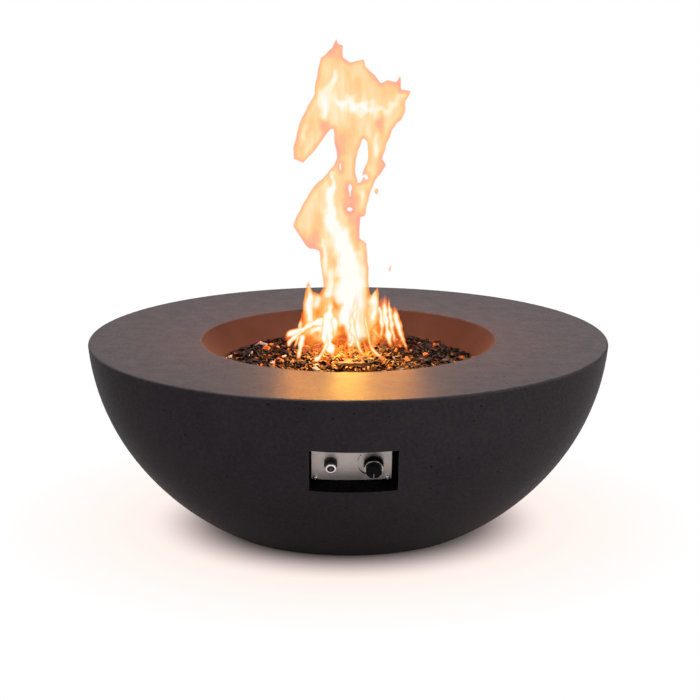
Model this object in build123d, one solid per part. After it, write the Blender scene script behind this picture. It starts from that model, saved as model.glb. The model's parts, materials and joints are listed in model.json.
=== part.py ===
from build123d import *
from math import asin, atan2, cos, pi, radians, sin, sqrt, tan
import os

# Round gas fire pit: a cast concrete bowl with a burner pan let into its top and a recessed control
# panel in its side. Millimetres, +Z up. The origin is on the bowl's axis at floor level, and the
# control panel faces -Y.

# Concrete bowl
bowl_height = 388.0        # floor to rim
rim_radius = 533.4
base_radius = 262.6
foot_stand = 3.0           # how far the rubber pads hold the casting off the floor
rim_slope = 5.0            # degrees the side leans in just under the rim
base_slope = 63.5          # degrees it leans in where it meets the base
wall = 16.0                # shell thickness
top_thickness = 18.0       # slab between the rim and the well
rim_edge = 4.0
inside_corner = 14.0

# Fire well
well_radius = 301.5
well_depth = 68.0          # rim to the ledge that carries the pan
well_slope = 37.5          # degrees from vertical
well_lip = 6.0
ledge_gap = 4.0            # play round the pan in the ledge's hole and round its flange

# Burner pan
pan_radius = 222.0
pan_depth = 44.0           # below the ledge
pan_sheet = 1.2
pan_bend = 5.0
pan_screw_count = 6
drain_count = 6
drain_radius = 4.0
drain_circle = 165.0

# Burner
ring_radius = 115.0
ring_tube = 8.0            # half the tube's width
ring_corner = 6.5
tube_sheet = 1.2
cross_tube = 5.5
cross_bite = 3.0           # how far the cross tube enters the ring
ring_turn = 37.0           # degrees that the ring's weld is turned from the cross tube
ring_lift = 41.0           # pan floor to the ring's centre
port_count = 28
port_radius = 1.3
hub_radius = 15.0
hub_height = 22.0
nipple_radius = 10.65
nipple_drop = 20.0         # below the pan
nipple_bore = 8.0
leg_turns = (30, 150, 310)
leg_width = 12.0
leg_sheet = 1.5
lock_nut_across = 30.0
lock_nut_height = 6.0

# Gas and air mixer under the burner
mixer_radius = 14.0
mixer_throat = 7.0
throat_drop = 14.0         # below the nipple
mixer_length = 62.0
mixer_socket = 13.0        # thread engaged on the nipple
mixer_wall = 2.6
air_window_width = 10.0
air_window_height = 16.0
air_window_turn = 45.0
shutter_turn = 30.0        # degrees, against the mixer's windows
mixer_floor = 3.0
shutter_wall = 1.0
shutter_overlap = 5.0
elbow_radius = 8.0
elbow_drop = 12.0          # mixer's foot to the elbow's arm
elbow_arm = 26.0
jet_radius = 3.0
jet_bore = 0.8
jet_height = 9.0

# Lava fill
bed_cover = 8.0            # how far the fill's top lies above the ring's top
bed_gap = 0.5
groove_gap = 1.0           # room kept round the burner
stone_count = 150
stone_radius = 18.0
stone_height = 13.0
stone_turn = 37.0          # degrees from one stone to the next

# Flame guard with its spark electrode and thermocouple
guard_width = 66.0
guard_side_shift = 10.8    # centre of the guard, to the right of the bowl's centre line
guard_stand = 19.0         # guard's front wall, beyond the burner ring
guard_foot_depth = 17.0
guard_hood_depth = 38.0
guard_rise = 20.0          # hood top below the rim
hood_drop = 36.0           # depth of the slotted hood
guard_sheet = 1.2
guard_slot_count = 7
guard_slot_width = 4.6
guard_foot = 11.0
shelf_lift = 19.0          # above the pan floor
probe_spacing = 22.0       # electrode to thermocouple
electrode_radius = 3.0
electrode_collar = 4.5
electrode_wire = 1.1
electrode_sink = 12.0      # wire's end below the ring's centre
thermocouple_radius = 2.5
thermocouple_tip = 1.8
thermocouple_collar = 4.0
probe_rise = 14.0          # thermocouple's tip above the ring's top
probe_drop = 14.0          # how far both reach below the pan
lead_radius = 1.5
lead_sag = 33.0            # how far both leads hang under a straight line
lead_leave = 26.0          # straight run behind the panel's fittings
lead_hang = ((0.2, 0.62), (0.55, 1.0), (0.84, 0.82), (1.0, 0.78))   # share of the way, share of the sag
capillary_radius = 1.25
lead_nut_across = 9.0
lead_nut_length = 9.0

# Control recess, square to the bowl's side where its centre lies
recess_drop = 151.0        # rim to the recess's centre
recess_width = 168.0
recess_tall = 96.5
recess_corner = 5.0
panel_setback = 36.0       # bowl surface to the panel's front face
window_width = 124.0
window_tall = 66.0

# Control panel
panel_width = 152.0
panel_tall = 89.0
panel_lift = 1.25          # the panel's centre above the recess's
panel_sag = 3.5            # how far the lower edge bows down in the middle
panel_sheet = 1.2
panel_shift = -3.5         # the panel sits this far to the right of the recess's centre
panel_corner = 2.0
screw_inset_side = 7.4
screw_inset_end = 4.5
control_row = -2.4         # knob and igniter line, above the recess's centre
knob_shift = 37.9
igniter_shift = -43.3

# Screws
screw_radius = 2.0
screw_head = 3.7
screw_head_height = 2.3
screw_length = 14.0
screw_spare = 1.0          # hole beyond the screw's tip
screw_fit = 0.05
panel_screw_head = 4.4
panel_screw_head_height = 4.5
guard_screw_length = 6.0
screw_slot_width = 0.9
screw_slot_depth = 1.2

# Valve
valve_width = 34.0
valve_tall = 30.0
valve_depth = 39.0
valve_edge = 3.0
nose_radius = 9.0
nose_length = 4.5          # proud of the panel
hole_play = 0.3
nose_nut_across = 22.0
nose_nut_height = 3.0
rotor_radius = 6.4
rotor_depth = 30.0         # behind the panel's front
running_gap = 0.05
stem_radius = 3.0
stem_flat = 2.2            # axis to the flat
stem_depth = 25.0
magnet_radius = 8.0
magnet_length = 26.0
magnet_neck = 5.0
magnet_hex = 18.0
magnet_hex_height = 6.0
magnet_pin = 1.2
rear_boss = 11.0
rear_boss_height = 6.0
port_boss = 7.5
port_boss_height = 7.0
outlet_depth = 33.0        # behind the panel's front
inlet_depth = 30.0

# Gas inlet, a 3/8 in flare
flare_radius = 7.9375
flare_length = 13.0
flare_nose = 4.0
inlet_reach = 32.0         # valve axis to the fitting's axis
inlet_hex = 19.0
inlet_bore = 4.0
inlet_stub = 7.0           # bare length before the fitting's hexagon
inlet_hex_height = 7.0
inlet_tilt = 20.0          # degrees the fitting is turned inwards, for a straight way to it from below

# Feed tube
feed_radius = 4.0
feed_wall = 0.8
tube_nut_across = 17.0
tube_nut_length = 12.0
feed_turn = 12.0           # first bend, beyond the nut
feed_back = 90.0
feed_fall = 55.0
feed_straight = 45.0       # last run, before the elbow's nut

# Knob
knob_stand = 5.0           # skirt above the panel
knob_height = 30.5         # face above the panel
knob_travel = 4.0
knob_skirt = 19.0
knob_waist = 17.0
knob_face = 15.4
knob_hub = 6.0
knob_cavity = 14.5
knob_roof = 4.0            # thickness of the face
trim_low = 17.0
trim_high = 20.0
trim_radius = 17.0
knob_groove = 1.2
knob_round = 1.5
knob_groove_step = 15      # degrees
pointer_length = 10.4
pointer_inset = 0.8        # from the face's edge
pointer_width = 1.3
pointer_depth = 0.7
knob_spring_radius = 10.2
knob_spring_wire = 0.6
knob_spring_turns = 4

# Igniter
igniter_radius = 11.0
igniter_flange = 14.0
igniter_flange_height = 3.0
igniter_depth = 62.0
collar_radius = 12.7
collar_height = 8.0
collar_flutes = 16
flute_radius = 1.5
neck_radius = 9.3
neck_height = 4.0
cap_radius = 10.2
cap_front = 19.7           # above the panel
cap_wall = 2.0
cap_play = 0.3
cap_screw_hole = 2.0
button_radius = 6.0
button_proud = 0.5
button_flange = 7.6
button_travel = 2.2
button_wall = 1.4
dot_radius = 2.4
dot_sink = 0.5
dot_proud = 0.2
button_spring_radius = 3.4
button_spring_wire = 0.4
button_spring_turns = 3
battery_radius = 7.25
battery_length = 50.5
battery_gap = 0.25
battery_sink = 2.0         # cell's tip behind the panel's front
battery_tip = 2.6
contact_radius = 4.5
contact_wire = 0.5
contact_height = 7.5
contact_turns = 3
terminal_width = 4.8
terminal_sheet = 0.8
terminal_length = 10.0
boot_radius = 3.6
boot_length = 14.0

# Rubber pads and the hose channel under the base
pad_count = 4
pad_radius = 12.0
pad_sink = 4.0
channel_width = 44.0
channel_height = 26.0

os.makedirs("parts", exist_ok=True)

# Places that several pieces share
base_z = foot_stand
recess_height = bowl_height - recess_drop
ledge_z = bowl_height - well_depth
slab_z = bowl_height - top_thickness
ledge_radius = well_radius - well_depth * tan(radians(well_slope))
pan_hole_radius = pan_radius + ledge_gap
pan_flange_radius = ledge_radius - ledge_gap
pan_under = ledge_z - pan_depth
pan_floor = pan_under + pan_sheet
ring_z = pan_floor + ring_lift
bed_top = ring_z + ring_tube + bed_cover
nipple_end = pan_under - nipple_drop
pan_screw_circle = (pan_hole_radius + pan_flange_radius) / 2 + 1
mixer_top = nipple_end + mixer_socket
mixer_foot = mixer_top - mixer_length
elbow_z = mixer_foot - elbow_drop
guard_front = ring_radius + ring_tube + guard_stand
knob_ceiling = knob_height - knob_roof
pointer_y = pointer_length / 2 + pointer_inset - knob_face
guard_top = bowl_height - guard_rise
guard_y = -guard_front
probe_y = guard_y + guard_foot_depth / 2 + 0.5
shelf_z = pan_floor + shelf_lift
probe_bottom = pan_under - probe_drop
electrode_x = guard_side_shift - probe_spacing / 2
thermocouple_x = guard_side_shift + probe_spacing / 2


def save(shape, name):
    export_step(shape, "parts/" + name + ".step")


def at_angle(centre, radius, angle):
    """The point of a circle in the (radius, height) plane, at an angle below the horizontal."""
    return (centre[0] + radius * cos(angle), centre[1] - radius * sin(angle))


def side_arc(centre, radius, start, end):
    return ThreePointArc(
        at_angle(centre, radius, start),
        at_angle(centre, radius, (start + end) / 2),
        at_angle(centre, radius, end),
    )


def spun(*outline):
    """A solid of revolution round Z from the lines of an outline in the (radius, height) plane."""
    return revolve(Plane.XZ * make_face(Curve() + list(outline)), Axis.Z)


def spun_points(*points):
    return revolve(Plane.XZ * make_face(Polyline(*points, close=True)), Axis.Z)


def rod(radius, start, end):
    return Pos(0, 0, (start + end) / 2) * Cylinder(radius, abs(end - start))


def pipe(outer, inner, low, high):
    return rod(outer, low, high) - rod(inner, low - 1, high + 1)


def hex_bar(across, low, high):
    return extrude(Pos(0, 0, low) * RegularPolygon(across / 2, 6, major_radius=False), high - low)


def hex_nut(across, bore, low, high):
    return hex_bar(across, low, high) - rod(bore, low - 1, high + 1)


def coil(radius, wire, low, high, turns):
    """An open compression spring between two heights, its wire kept inside them."""
    line = Helix(pitch=(high - low - 2 * wire) / turns, height=high - low - 2 * wire, radius=radius)
    line = Pos(0, 0, low + wire) * line
    return sweep(Plane(line @ 0, z_dir=line % 0) * Circle(wire), path=line)


def bent_rod(name, points, radius, bore=0):
    """A rod or tube along straight runs with tangent arcs as large as the runs allow."""
    runs = [Vector(*b) - Vector(*a) for a, b in zip(points, points[1:])]
    bends = []
    for before, after in zip(runs, runs[1:]):
        turn = radians(before.get_angle(after))
        bends.append(0.45 * min(before.length, after.length) / tan(turn / 2))
    line = FilletPolyline(*points, radius=bends)
    tube = sweep(Plane(line @ 0, z_dir=line % 0) * Circle(radius), path=line)
    print(name, "length", round(line.length, 1), "bends", [round(bend, 1) for bend in bends])
    print(name, "volume ratio", round(tube.volume / (pi * radius**2 * line.length), 4))
    if bore:
        tube = tube - sweep(Plane(line @ 0, z_dir=line % 0) * Circle(bore), path=line)
    return tube


def screw(length=screw_length, head_radius=screw_head, head_height=screw_head_height):
    """A pan-head screw with its head standing on z = 0."""
    head = fillet(rod(head_radius, 0, head_height).edges().group_by(Axis.Z)[-1], head_height / 2)
    slot = Box(1.2 * head_radius, screw_slot_width, 2 * screw_slot_depth)
    cross = slot + Rot(0, 0, 90) * slot
    return head + rod(screw_radius, -length, 0) - Pos(0, 0, head_height) * cross


def downhill(slope):
    """The way down the side, in the (radius, height) plane, where it leans in by an angle."""
    return Vector(-sin(radians(slope)), -cos(radians(slope)))


# The bowl's side is two tangent bends whose tangents are equally long, and its inside is parallel to
# them. The tangents' length follows from both ends and both slopes
rim_point = Vector(rim_radius, bowl_height)
base_point = Vector(base_radius, base_z)
fall = base_point - rim_point
fall_along = fall.dot(downhill(rim_slope) + downhill(base_slope))
turning = 2 - 2 * downhill(rim_slope).dot(downhill(base_slope))
tangent = (sqrt(fall_along**2 + turning * fall.dot(fall)) - fall_along) / turning
rim_knee = rim_point + downhill(rim_slope) * tangent
base_knee = base_point - downhill(base_slope) * tangent
join = (rim_knee + base_knee) * 0.5
join_angle = atan2(rim_knee.X - base_knee.X, rim_knee.Y - base_knee.Y)
upper_bend = tangent / tan((join_angle - radians(rim_slope)) / 2)
lower_bend = tangent / tan((radians(base_slope) - join_angle) / 2)
upper_centre = (join.X - upper_bend * cos(join_angle), join.Y + upper_bend * sin(join_angle))
lower_centre = (join.X - lower_bend * cos(join_angle), join.Y + lower_bend * sin(join_angle))
print("side bends", round(upper_bend, 1), round(lower_bend, 1), "join height", round(join.Y, 1))


def side_angle(centre, radius, height):
    return asin((centre[1] - height) / radius)


def side_bend(height):
    """Centre and radius of the bend that the side follows at a height."""
    return (upper_centre, upper_bend) if height > join.Y else (lower_centre, lower_bend)


def side_radius(height, depth=0.0):
    """The bowl's radius at a height, on the surface or at a depth under it."""
    centre, radius = side_bend(height)
    return at_angle(centre, radius - depth, side_angle(centre, radius - depth, height))[0]


def corner_fillet(face, corner, radius):
    return fillet(face.vertices().sort_by_distance((corner[0], corner[1], 0))[0], radius)


# Frame of the control panel: its origin is on the panel's front face at the recess's centre, X is to
# the right, Y up the slope and Z straight out of the bowl's side
recess_angle = side_angle(*side_bend(recess_height), recess_height)
recess_out = (0, -cos(recess_angle), -sin(recess_angle))
panel_frame = Plane(
    origin=(0, -side_radius(recess_height), recess_height), x_dir=(1, 0, 0), z_dir=recess_out
).location * Pos(0, 0, -panel_setback)
knob_frame = panel_frame * Pos(knob_shift, control_row, 0)
igniter_frame = panel_frame * Pos(igniter_shift, control_row, 0)
panel_middle = panel_frame * Pos(panel_shift, panel_lift, 0)
panel_screw_x = panel_width / 2 - screw_inset_side
panel_screw_y = panel_tall / 2 - screw_inset_end
panel_screw_places = [
    panel_middle * Pos(x * panel_screw_x, y * panel_screw_y, 0) for x in (-1, 1) for y in (-1, 1)
]
pan_screw_places = [
    Rot(0, 0, 360 / pan_screw_count * (i + 0.5)) * Pos(pan_screw_circle, 0, ledge_z + pan_sheet)
    for i in range(pan_screw_count)
]


def in_world(frame, x, y, z):
    """A point given in a frame, as world coordinates."""
    return tuple((frame * Pos(x, y, z)).position)


print("panel front", in_world(panel_frame, 0, 0, 0), "out", recess_out)


def bowl_solid():
    """The bowl's outer form with nothing hollowed out."""
    return spun(
        side_arc(upper_centre, upper_bend, radians(rim_slope), join_angle),
        side_arc(lower_centre, lower_bend, join_angle, side_angle(lower_centre, lower_bend, base_z)),
        Polyline((base_radius, base_z), (0, base_z), (0, bowl_height), (rim_radius, bowl_height)),
    )


def bowl_shell():
    inner_upper = upper_bend - wall
    inner_lower = lower_bend - wall
    slab_start = side_angle(upper_centre, inner_upper, slab_z)
    inner_base = side_angle(lower_centre, inner_lower, base_z)
    cone_wall = wall / cos(radians(well_slope))
    slope = tan(radians(well_slope))
    under_z = ledge_z - top_thickness
    cone_foot = ledge_radius + cone_wall - top_thickness * slope
    cone_head = ledge_radius + cone_wall + (slab_z - ledge_z) * slope
    inner_rim = at_angle(upper_centre, inner_upper, slab_start)
    base_in = at_angle(lower_centre, inner_lower, inner_base)
    profile = make_face(
        Curve()
        + [
            side_arc(upper_centre, upper_bend, radians(rim_slope), join_angle),
            side_arc(lower_centre, lower_bend, join_angle, side_angle(lower_centre, lower_bend, base_z)),
            Line((base_radius, base_z), base_in),
            side_arc(lower_centre, inner_lower, inner_base, join_angle),
            side_arc(upper_centre, inner_upper, join_angle, slab_start),
            Polyline(
                inner_rim,
                (cone_head, slab_z),
                (cone_foot, under_z),
                (pan_hole_radius, under_z),
                (pan_hole_radius, ledge_z),
                (ledge_radius, ledge_z),
                (well_radius, bowl_height),
                (rim_radius, bowl_height),
            ),
        ]
    )
    for corner, radius in (
        ((rim_radius, bowl_height), rim_edge),
        ((well_radius, bowl_height), well_lip),
        (inner_rim, inside_corner),
        ((cone_head, slab_z), inside_corner),
        ((base_radius, base_z), rim_edge),
    ):
        profile = corner_fillet(profile, corner, radius)
    shell = revolve(Plane.XZ * profile, Axis.Z)

    # The recess: a cast box behind it, the pocket, and a window for the controls behind the panel
    pocket_depth = panel_setback + panel_sheet
    boss = panel_frame * Pos(0, 0, panel_setback / 2) * Box(
        recess_width + 2 * wall, recess_tall + 2 * wall, panel_setback + 2 * (panel_sheet + wall)
    )
    shell = shell + (bowl_solid() & boss)
    pocket = extrude(
        RectangleRounded(recess_width, recess_tall, recess_corner), pocket_depth + 2 * wall
    )
    shell = shell - panel_frame * Pos(0, 0, -panel_sheet) * pocket
    window = extrude(RectangleRounded(window_width, window_tall, recess_corner), 4 * wall)
    shell = shell - panel_middle * Pos(0, 0, -3 * wall) * window
    screw_hole = rod(screw_radius + screw_fit, -screw_length - screw_spare, 1)
    for place in panel_screw_places:
        shell = shell - place * screw_hole
    for place in pan_screw_places:
        shell = shell - place * screw_hole
    for place in pad_places():
        shell = shell - place * rod(pad_radius + hole_play, -1, foot_stand + pad_sink)

    # An arched channel in the foot ring lets the gas hose out at the back
    side = channel_width / 2
    springing = channel_height - side
    straight = Pos(0, (springing - 1) / 2) * Rectangle(channel_width, springing + 1)
    channel = extrude(Plane.XZ * (straight + Pos(0, springing) * Circle(side)), -rim_radius)
    return shell - channel


def pad_places():
    ring = (base_radius - rim_edge + side_radius(foot_stand + pad_sink, wall)) / 2
    print("pad circle", round(ring, 2))
    return [Rot(0, 0, 360 / pad_count * (i + 0.5)) * Pos(ring, 0, 0) for i in range(pad_count)]


def foot_pads():
    pad = fillet(rod(pad_radius, 0, foot_stand + pad_sink).edges().group_by(Axis.Z)[0], 1.5)
    return Compound(children=[place * pad for place in pad_places()])


def burner_pan():
    """A spun steel tray whose flange lies on the casting's ledge."""
    profile = make_face(
        Polyline(
            (0, pan_under),
            (pan_radius, pan_under),
            (pan_radius, ledge_z),
            (pan_flange_radius, ledge_z),
            (pan_flange_radius, ledge_z + pan_sheet),
            (pan_radius - pan_sheet, ledge_z + pan_sheet),
            (pan_radius - pan_sheet, pan_floor),
            (0, pan_floor),
            close=True,
        )
    )
    profile = corner_fillet(profile, (pan_radius, pan_under), pan_bend)
    profile = corner_fillet(profile, (pan_radius - pan_sheet, pan_floor), pan_bend - pan_sheet)
    pan = revolve(Plane.XZ * profile, Axis.Z)
    pan = pan - rod(nipple_radius + hole_play, pan_under - 1, pan_floor + 1)
    for i in range(drain_count):
        hole = rod(drain_radius, pan_under - 1, pan_floor + 1)
        pan = pan - Rot(0, 0, 360 / drain_count * i) * Pos(drain_circle, 0, 0) * hole
    for place in pan_screw_places:
        pan = pan - place * rod(screw_radius + screw_fit, -2 * pan_sheet, 1)
    slot = extrude(SlotCenterToCenter(probe_spacing, 3 * electrode_radius), 4 * pan_sheet)
    pan = pan - Pos(guard_side_shift, probe_y, pan_under - pan_sheet) * slot
    for place in guard_screw_places():
        pan = pan - place * rod(screw_radius + screw_fit, -4 * pan_sheet, 1)
    return pan


def ring_solid(inset):
    """The burner ring's tube, flat on top for its ports, or its inside at a wall's inset."""
    half = ring_tube - inset
    section = Pos(ring_radius, 0) * RectangleRounded(2 * half, 2 * half, ring_corner - inset)
    return Rot(0, 0, ring_turn) * revolve(Plane.XZ * section, Axis.Z)


def burner_ring():
    """A hollow ring with a cross tube, a hub with its threaded nipple, and three welded legs."""
    hub_low = ring_z - hub_height / 2
    cross_end = ring_radius - ring_tube + cross_bite
    middle = Pos(0, 0, ring_z)
    burner = middle * (ring_solid(0) + Rot(0, 90, 0) * Cylinder(cross_tube, 2 * cross_end))
    burner = burner + rod(hub_radius, hub_low, ring_z + hub_height / 2)
    burner = burner + rod(nipple_radius, nipple_end, hub_low)
    burner = burner - middle * Rot(0, 90, 0) * Cylinder(cross_tube - tube_sheet, 2 * cross_end - 1)
    burner = burner - rod(nipple_bore, nipple_end - 1, ring_z + cross_tube)
    burner = burner - middle * ring_solid(tube_sheet)
    port = Pos(ring_radius, 0, ring_z) * rod(port_radius, ring_tube / 2, ring_tube + 1)
    burner = burner - [Rot(0, 0, 360 / port_count * (i + 0.5)) * port for i in range(port_count)]
    for turn in leg_turns:
        foot = Pos(ring_radius, 0, pan_floor + leg_sheet / 2) * Box(leg_width, leg_width, leg_sheet)
        post_height = ring_z - ring_tube + tube_sheet / 2 - pan_floor
        post = Pos(ring_radius, 0, pan_floor + post_height / 2) * Box(leg_sheet, leg_width, post_height)
        burner = burner + Rot(0, 0, turn) * (foot + post)
    return burner


def burner_lock_nut():
    return hex_nut(lock_nut_across, nipple_radius + screw_fit, pan_under - lock_nut_height, pan_under)


def air_windows(turn):
    """Two crossed bars that cut four windows just above the mixer's floor."""
    bar = Box(4 * mixer_radius, air_window_width, air_window_height)
    middle = Pos(0, 0, mixer_foot + mixer_floor + 1 + air_window_height / 2)
    return [Rot(0, 0, turn + quarter) * middle * bar for quarter in (0, 90)]


def air_mixer():
    """A venturi that screws onto the nipple, with air windows above its closed foot."""
    outer = rod(mixer_radius, mixer_foot, mixer_top)
    socket = rod(nipple_radius + screw_fit, nipple_end, mixer_top + 1)
    throat_z = nipple_end - throat_drop
    bore = spun_points(
        (0, nipple_end + 0.1),
        (nipple_bore, nipple_end + 0.1),
        (mixer_throat, throat_z),
        (mixer_radius - mixer_wall, mixer_foot + air_window_height + 6),
        (mixer_radius - mixer_wall, mixer_foot + mixer_floor),
        (0, mixer_foot + mixer_floor),
    )
    mixer = outer - socket - bore
    mixer = mixer - air_windows(air_window_turn)
    return mixer - rod(jet_radius + screw_fit, mixer_foot - 1, mixer_foot + mixer_floor + 1)


def air_shutter():
    """A sleeve with matching windows, turned part of the way over the mixer's to set the air."""
    inner = mixer_radius + running_gap
    top = mixer_foot + air_window_height + 2 * shutter_overlap
    return pipe(inner + shutter_wall, inner, mixer_foot, top) - air_windows(shutter_turn)


def orifice_elbow():
    """A brass elbow whose jet stands in the mixer's foot."""
    body = Pos(0, 0, elbow_z) * Sphere(elbow_radius)
    body = body + rod(elbow_radius, elbow_z, mixer_foot)
    body = body + rod(jet_radius, mixer_foot - 1, mixer_foot + jet_height)
    arm = Pos(0, -elbow_arm / 2, elbow_z) * Rot(90, 0, 0) * Cylinder(elbow_radius - 1, elbow_arm)
    body = body + arm
    inlet = Pos(0, -elbow_arm / 2 - 1, elbow_z) * Rot(90, 0, 0) * Cylinder(feed_radius, elbow_arm + 2)
    body = body - inlet - rod(feed_radius / 2, elbow_z, mixer_foot + jet_height - 2)
    return body - rod(jet_bore, mixer_foot, mixer_foot + jet_height + 1)


def feed_route():
    """Points from the valve's outlet nut to the elbow under the burner."""
    out_x = -valve_width / 2 - port_boss_height - tube_nut_length
    turn_x = out_x - feed_turn - tube_nut_length + 2
    start = in_world(knob_frame, out_x + 2, 0, -outlet_depth)
    turn = in_world(knob_frame, turn_x, 0, -outlet_depth)
    back = in_world(knob_frame, turn_x - 2, 0, -outlet_depth - feed_back)
    end_y = -elbow_arm - tube_nut_length
    return [
        start,
        turn,
        (back[0], back[1], back[2] - feed_fall),
        (back[0] / 2, (back[1] + end_y) / 2, elbow_z + feed_radius),
        (0, end_y - feed_straight, elbow_z),
        (0, end_y + 2, elbow_z),
    ]


def gas_feed_tube():
    return bent_rod("gas_feed_tube", feed_route(), feed_radius, feed_radius - feed_wall)


def tube_nuts():
    """Flare nuts at both ends of the feed tube."""
    nut = hex_nut(tube_nut_across, feed_radius + screw_fit, 0, tube_nut_length)
    at_elbow = Pos(0, -elbow_arm, elbow_z) * Rot(90, 0, 0) * nut
    outlet_x = -valve_width / 2 - port_boss_height
    at_valve = knob_frame * Pos(outlet_x, 0, -outlet_depth) * Rot(0, -90, 0) * nut
    return Compound(children=[at_elbow, at_valve])


def lava_bed():
    """The loose fill as one body, open above the burner ring so that the flames can rise."""
    slope = tan(radians(well_slope))
    low_in = ledge_z + pan_sheet + screw_head_height + 1
    bed = spun_points(
        (0, pan_floor),
        (pan_radius - pan_bend, pan_floor),
        (pan_radius - pan_sheet - bed_gap, pan_floor + pan_bend),
        (pan_radius - pan_sheet - bed_gap, low_in),
        (ledge_radius + (low_in - ledge_z) * slope - bed_gap, low_in),
        (ledge_radius + (bed_top - ledge_z) * slope - bed_gap, bed_top),
        (0, bed_top),
    )
    half = ring_tube + groove_gap
    groove = spun_points(
        (ring_radius - half, ring_z - half),
        (ring_radius + half, ring_z - half),
        (ring_radius + half, bed_top + 1),
        (ring_radius - half, bed_top + 1),
    )
    bed = bed - groove
    trench_low = ring_z - cross_tube - groove_gap
    trench = Pos(0, 0, (trench_low + bed_top + 1) / 2) * Box(
        2 * ring_radius, 2 * (cross_tube + groove_gap), bed_top + 1 - trench_low
    )
    bed = bed - trench - rod(hub_radius + groove_gap, ring_z - hub_height / 2 - groove_gap, bed_top + 1)
    bed = bed - rod(nipple_radius + groove_gap, pan_floor - 1, ring_z)
    for turn in leg_turns:
        room = Box(leg_width + 2, leg_width + 2, ring_lift)
        bed = bed - Rot(0, 0, turn) * Pos(ring_radius, 0, pan_floor + ring_lift / 2 - 1) * room
    guard_room = Box(
        guard_width + 2 * guard_foot + 4, guard_front - ring_radius + 4, bed_top + 2 - pan_floor
    )
    guard_room_y = -(guard_front + ring_radius) / 2
    bed = bed - Pos(guard_side_shift, guard_room_y, (bed_top + pan_floor) / 2) * guard_room
    return bed


def scatter(index, seed):
    """A repeatable spread of values from 0 to 1."""
    value = sin(index * 12.9898 + seed * 78.233) * 43758.5453
    return value - int(value // 1)


def lava_stone(index):
    """One broken stone: a tapered many-sided block with a slanted top."""
    sides = 5 + index % 2
    radius = stone_radius * (0.82 + 0.18 * scatter(index, 1))
    corners = []
    for side in range(sides):
        angle = 2 * pi * (side + 0.5 * scatter(index * 7 + side, 2)) / sides
        reach = radius * (0.82 + 0.18 * scatter(index * 7 + side, 3))
        corners.append((reach * cos(angle), reach * sin(angle)))
    taper = 14 + 14 * scatter(index, 4)
    height = stone_height * (0.75 + 0.6 * scatter(index, 5))
    block = extrude(make_face(Polyline(*corners, close=True)), height, taper=taper)
    tilt = Rot(18 * scatter(index, 6) - 9, 18 * scatter(index, 7) - 9, 0)
    cutter = Pos(0, 0, height * 0.8) * tilt * Pos(0, 0, stone_radius) * Box(
        4 * stone_radius, 4 * stone_radius, 2 * stone_radius
    )
    return block - cutter


def lava_stones():
    """The top layer of lava stones, spread evenly over the fill and clear of the flame guard."""
    slope = tan(radians(well_slope))
    reach = ledge_radius + (bed_top - ledge_z) * slope - stone_radius - 2
    stones = []
    for index in range(stone_count):
        distance = reach * sqrt((index + 0.5) / stone_count)
        angle = index * pi * (3 - sqrt(5))
        x, y = distance * cos(angle), distance * sin(angle)
        past_side = abs(x - guard_side_shift) > guard_width / 2 + stone_radius + 1
        past_ends = abs(y - guard_y - guard_hood_depth / 2) > guard_hood_depth / 2 + stone_radius + 1
        if past_side or past_ends:
            stones.append(Pos(x, y, bed_top) * Rot(0, 0, stone_turn * index) * lava_stone(index))
    print("stones", len(stones))
    return Compound(children=stones)


def guard_screw_places():
    side = guard_width / 2 + guard_foot / 2
    foot_y = guard_y + guard_foot_depth / 2
    return [
        Pos(guard_side_shift + x * side, foot_y, pan_floor + guard_sheet) for x in (-1, 1)
    ]


def igniter_guard():
    """A folded steel hood: narrow where it stands beside the ring, deeper above it, and slotted."""
    hood_low = guard_top - hood_drop
    foot_middle = guard_y + guard_foot_depth / 2
    hood_middle = guard_y + guard_hood_depth / 2
    tower = Pos(0, foot_middle, (pan_floor + guard_top) / 2) * Box(
        guard_width, guard_foot_depth, guard_top - pan_floor
    )
    hood = Pos(0, hood_middle, (hood_low + guard_top) / 2) * Box(
        guard_width, guard_hood_depth, guard_top - hood_low
    )
    solid = tower + hood
    room_height = guard_top - guard_sheet - pan_floor + 1
    room = Pos(0, hood_middle + guard_sheet, pan_floor - 1 + room_height / 2) * Box(
        guard_width - 2 * guard_sheet, guard_hood_depth, room_height
    )
    guard = solid - room
    slot_height = hood_drop - 12
    pitch = guard_width / (guard_slot_count + 0.5)
    slot_face = SlotCenterToCenter(slot_height - guard_slot_width, guard_slot_width)
    slot = extrude(slot_face, 3 * guard_sheet)
    for i in range(guard_slot_count):
        x = (i - (guard_slot_count - 1) / 2) * pitch
        middle = Pos(x, guard_y + 2 * guard_sheet, guard_top - 6 - slot_height / 2)
        guard = guard - middle * Rot(90, 0, 0) * Rot(0, 0, 90) * slot
    shelf = Pos(0, foot_middle + guard_sheet / 2, shelf_z - guard_sheet / 2) * Box(
        guard_width - guard_sheet, guard_foot_depth - guard_sheet, guard_sheet
    )
    guard = guard + shelf
    for x, radius in ((-probe_spacing / 2, electrode_radius), (probe_spacing / 2, thermocouple_radius)):
        hole = rod(radius + running_gap, shelf_z - 2 * guard_sheet, shelf_z + 1)
        guard = guard - Pos(x, probe_y, 0) * hole
    foot = Box(guard_foot + guard_sheet, guard_foot_depth, guard_sheet)
    foot_x = (guard_width + guard_foot - guard_sheet) / 2
    for x in (-foot_x, foot_x):
        guard = guard + Pos(x, foot_middle, pan_floor + guard_sheet / 2) * foot
    guard = Pos(guard_side_shift, 0, 0) * guard
    for place in guard_screw_places():
        guard = guard - place * rod(screw_radius + screw_fit, -2 * guard_sheet, 1)
    return guard


def guard_screws():
    return Compound(children=[place * screw(guard_screw_length) for place in guard_screw_places()])


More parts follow.
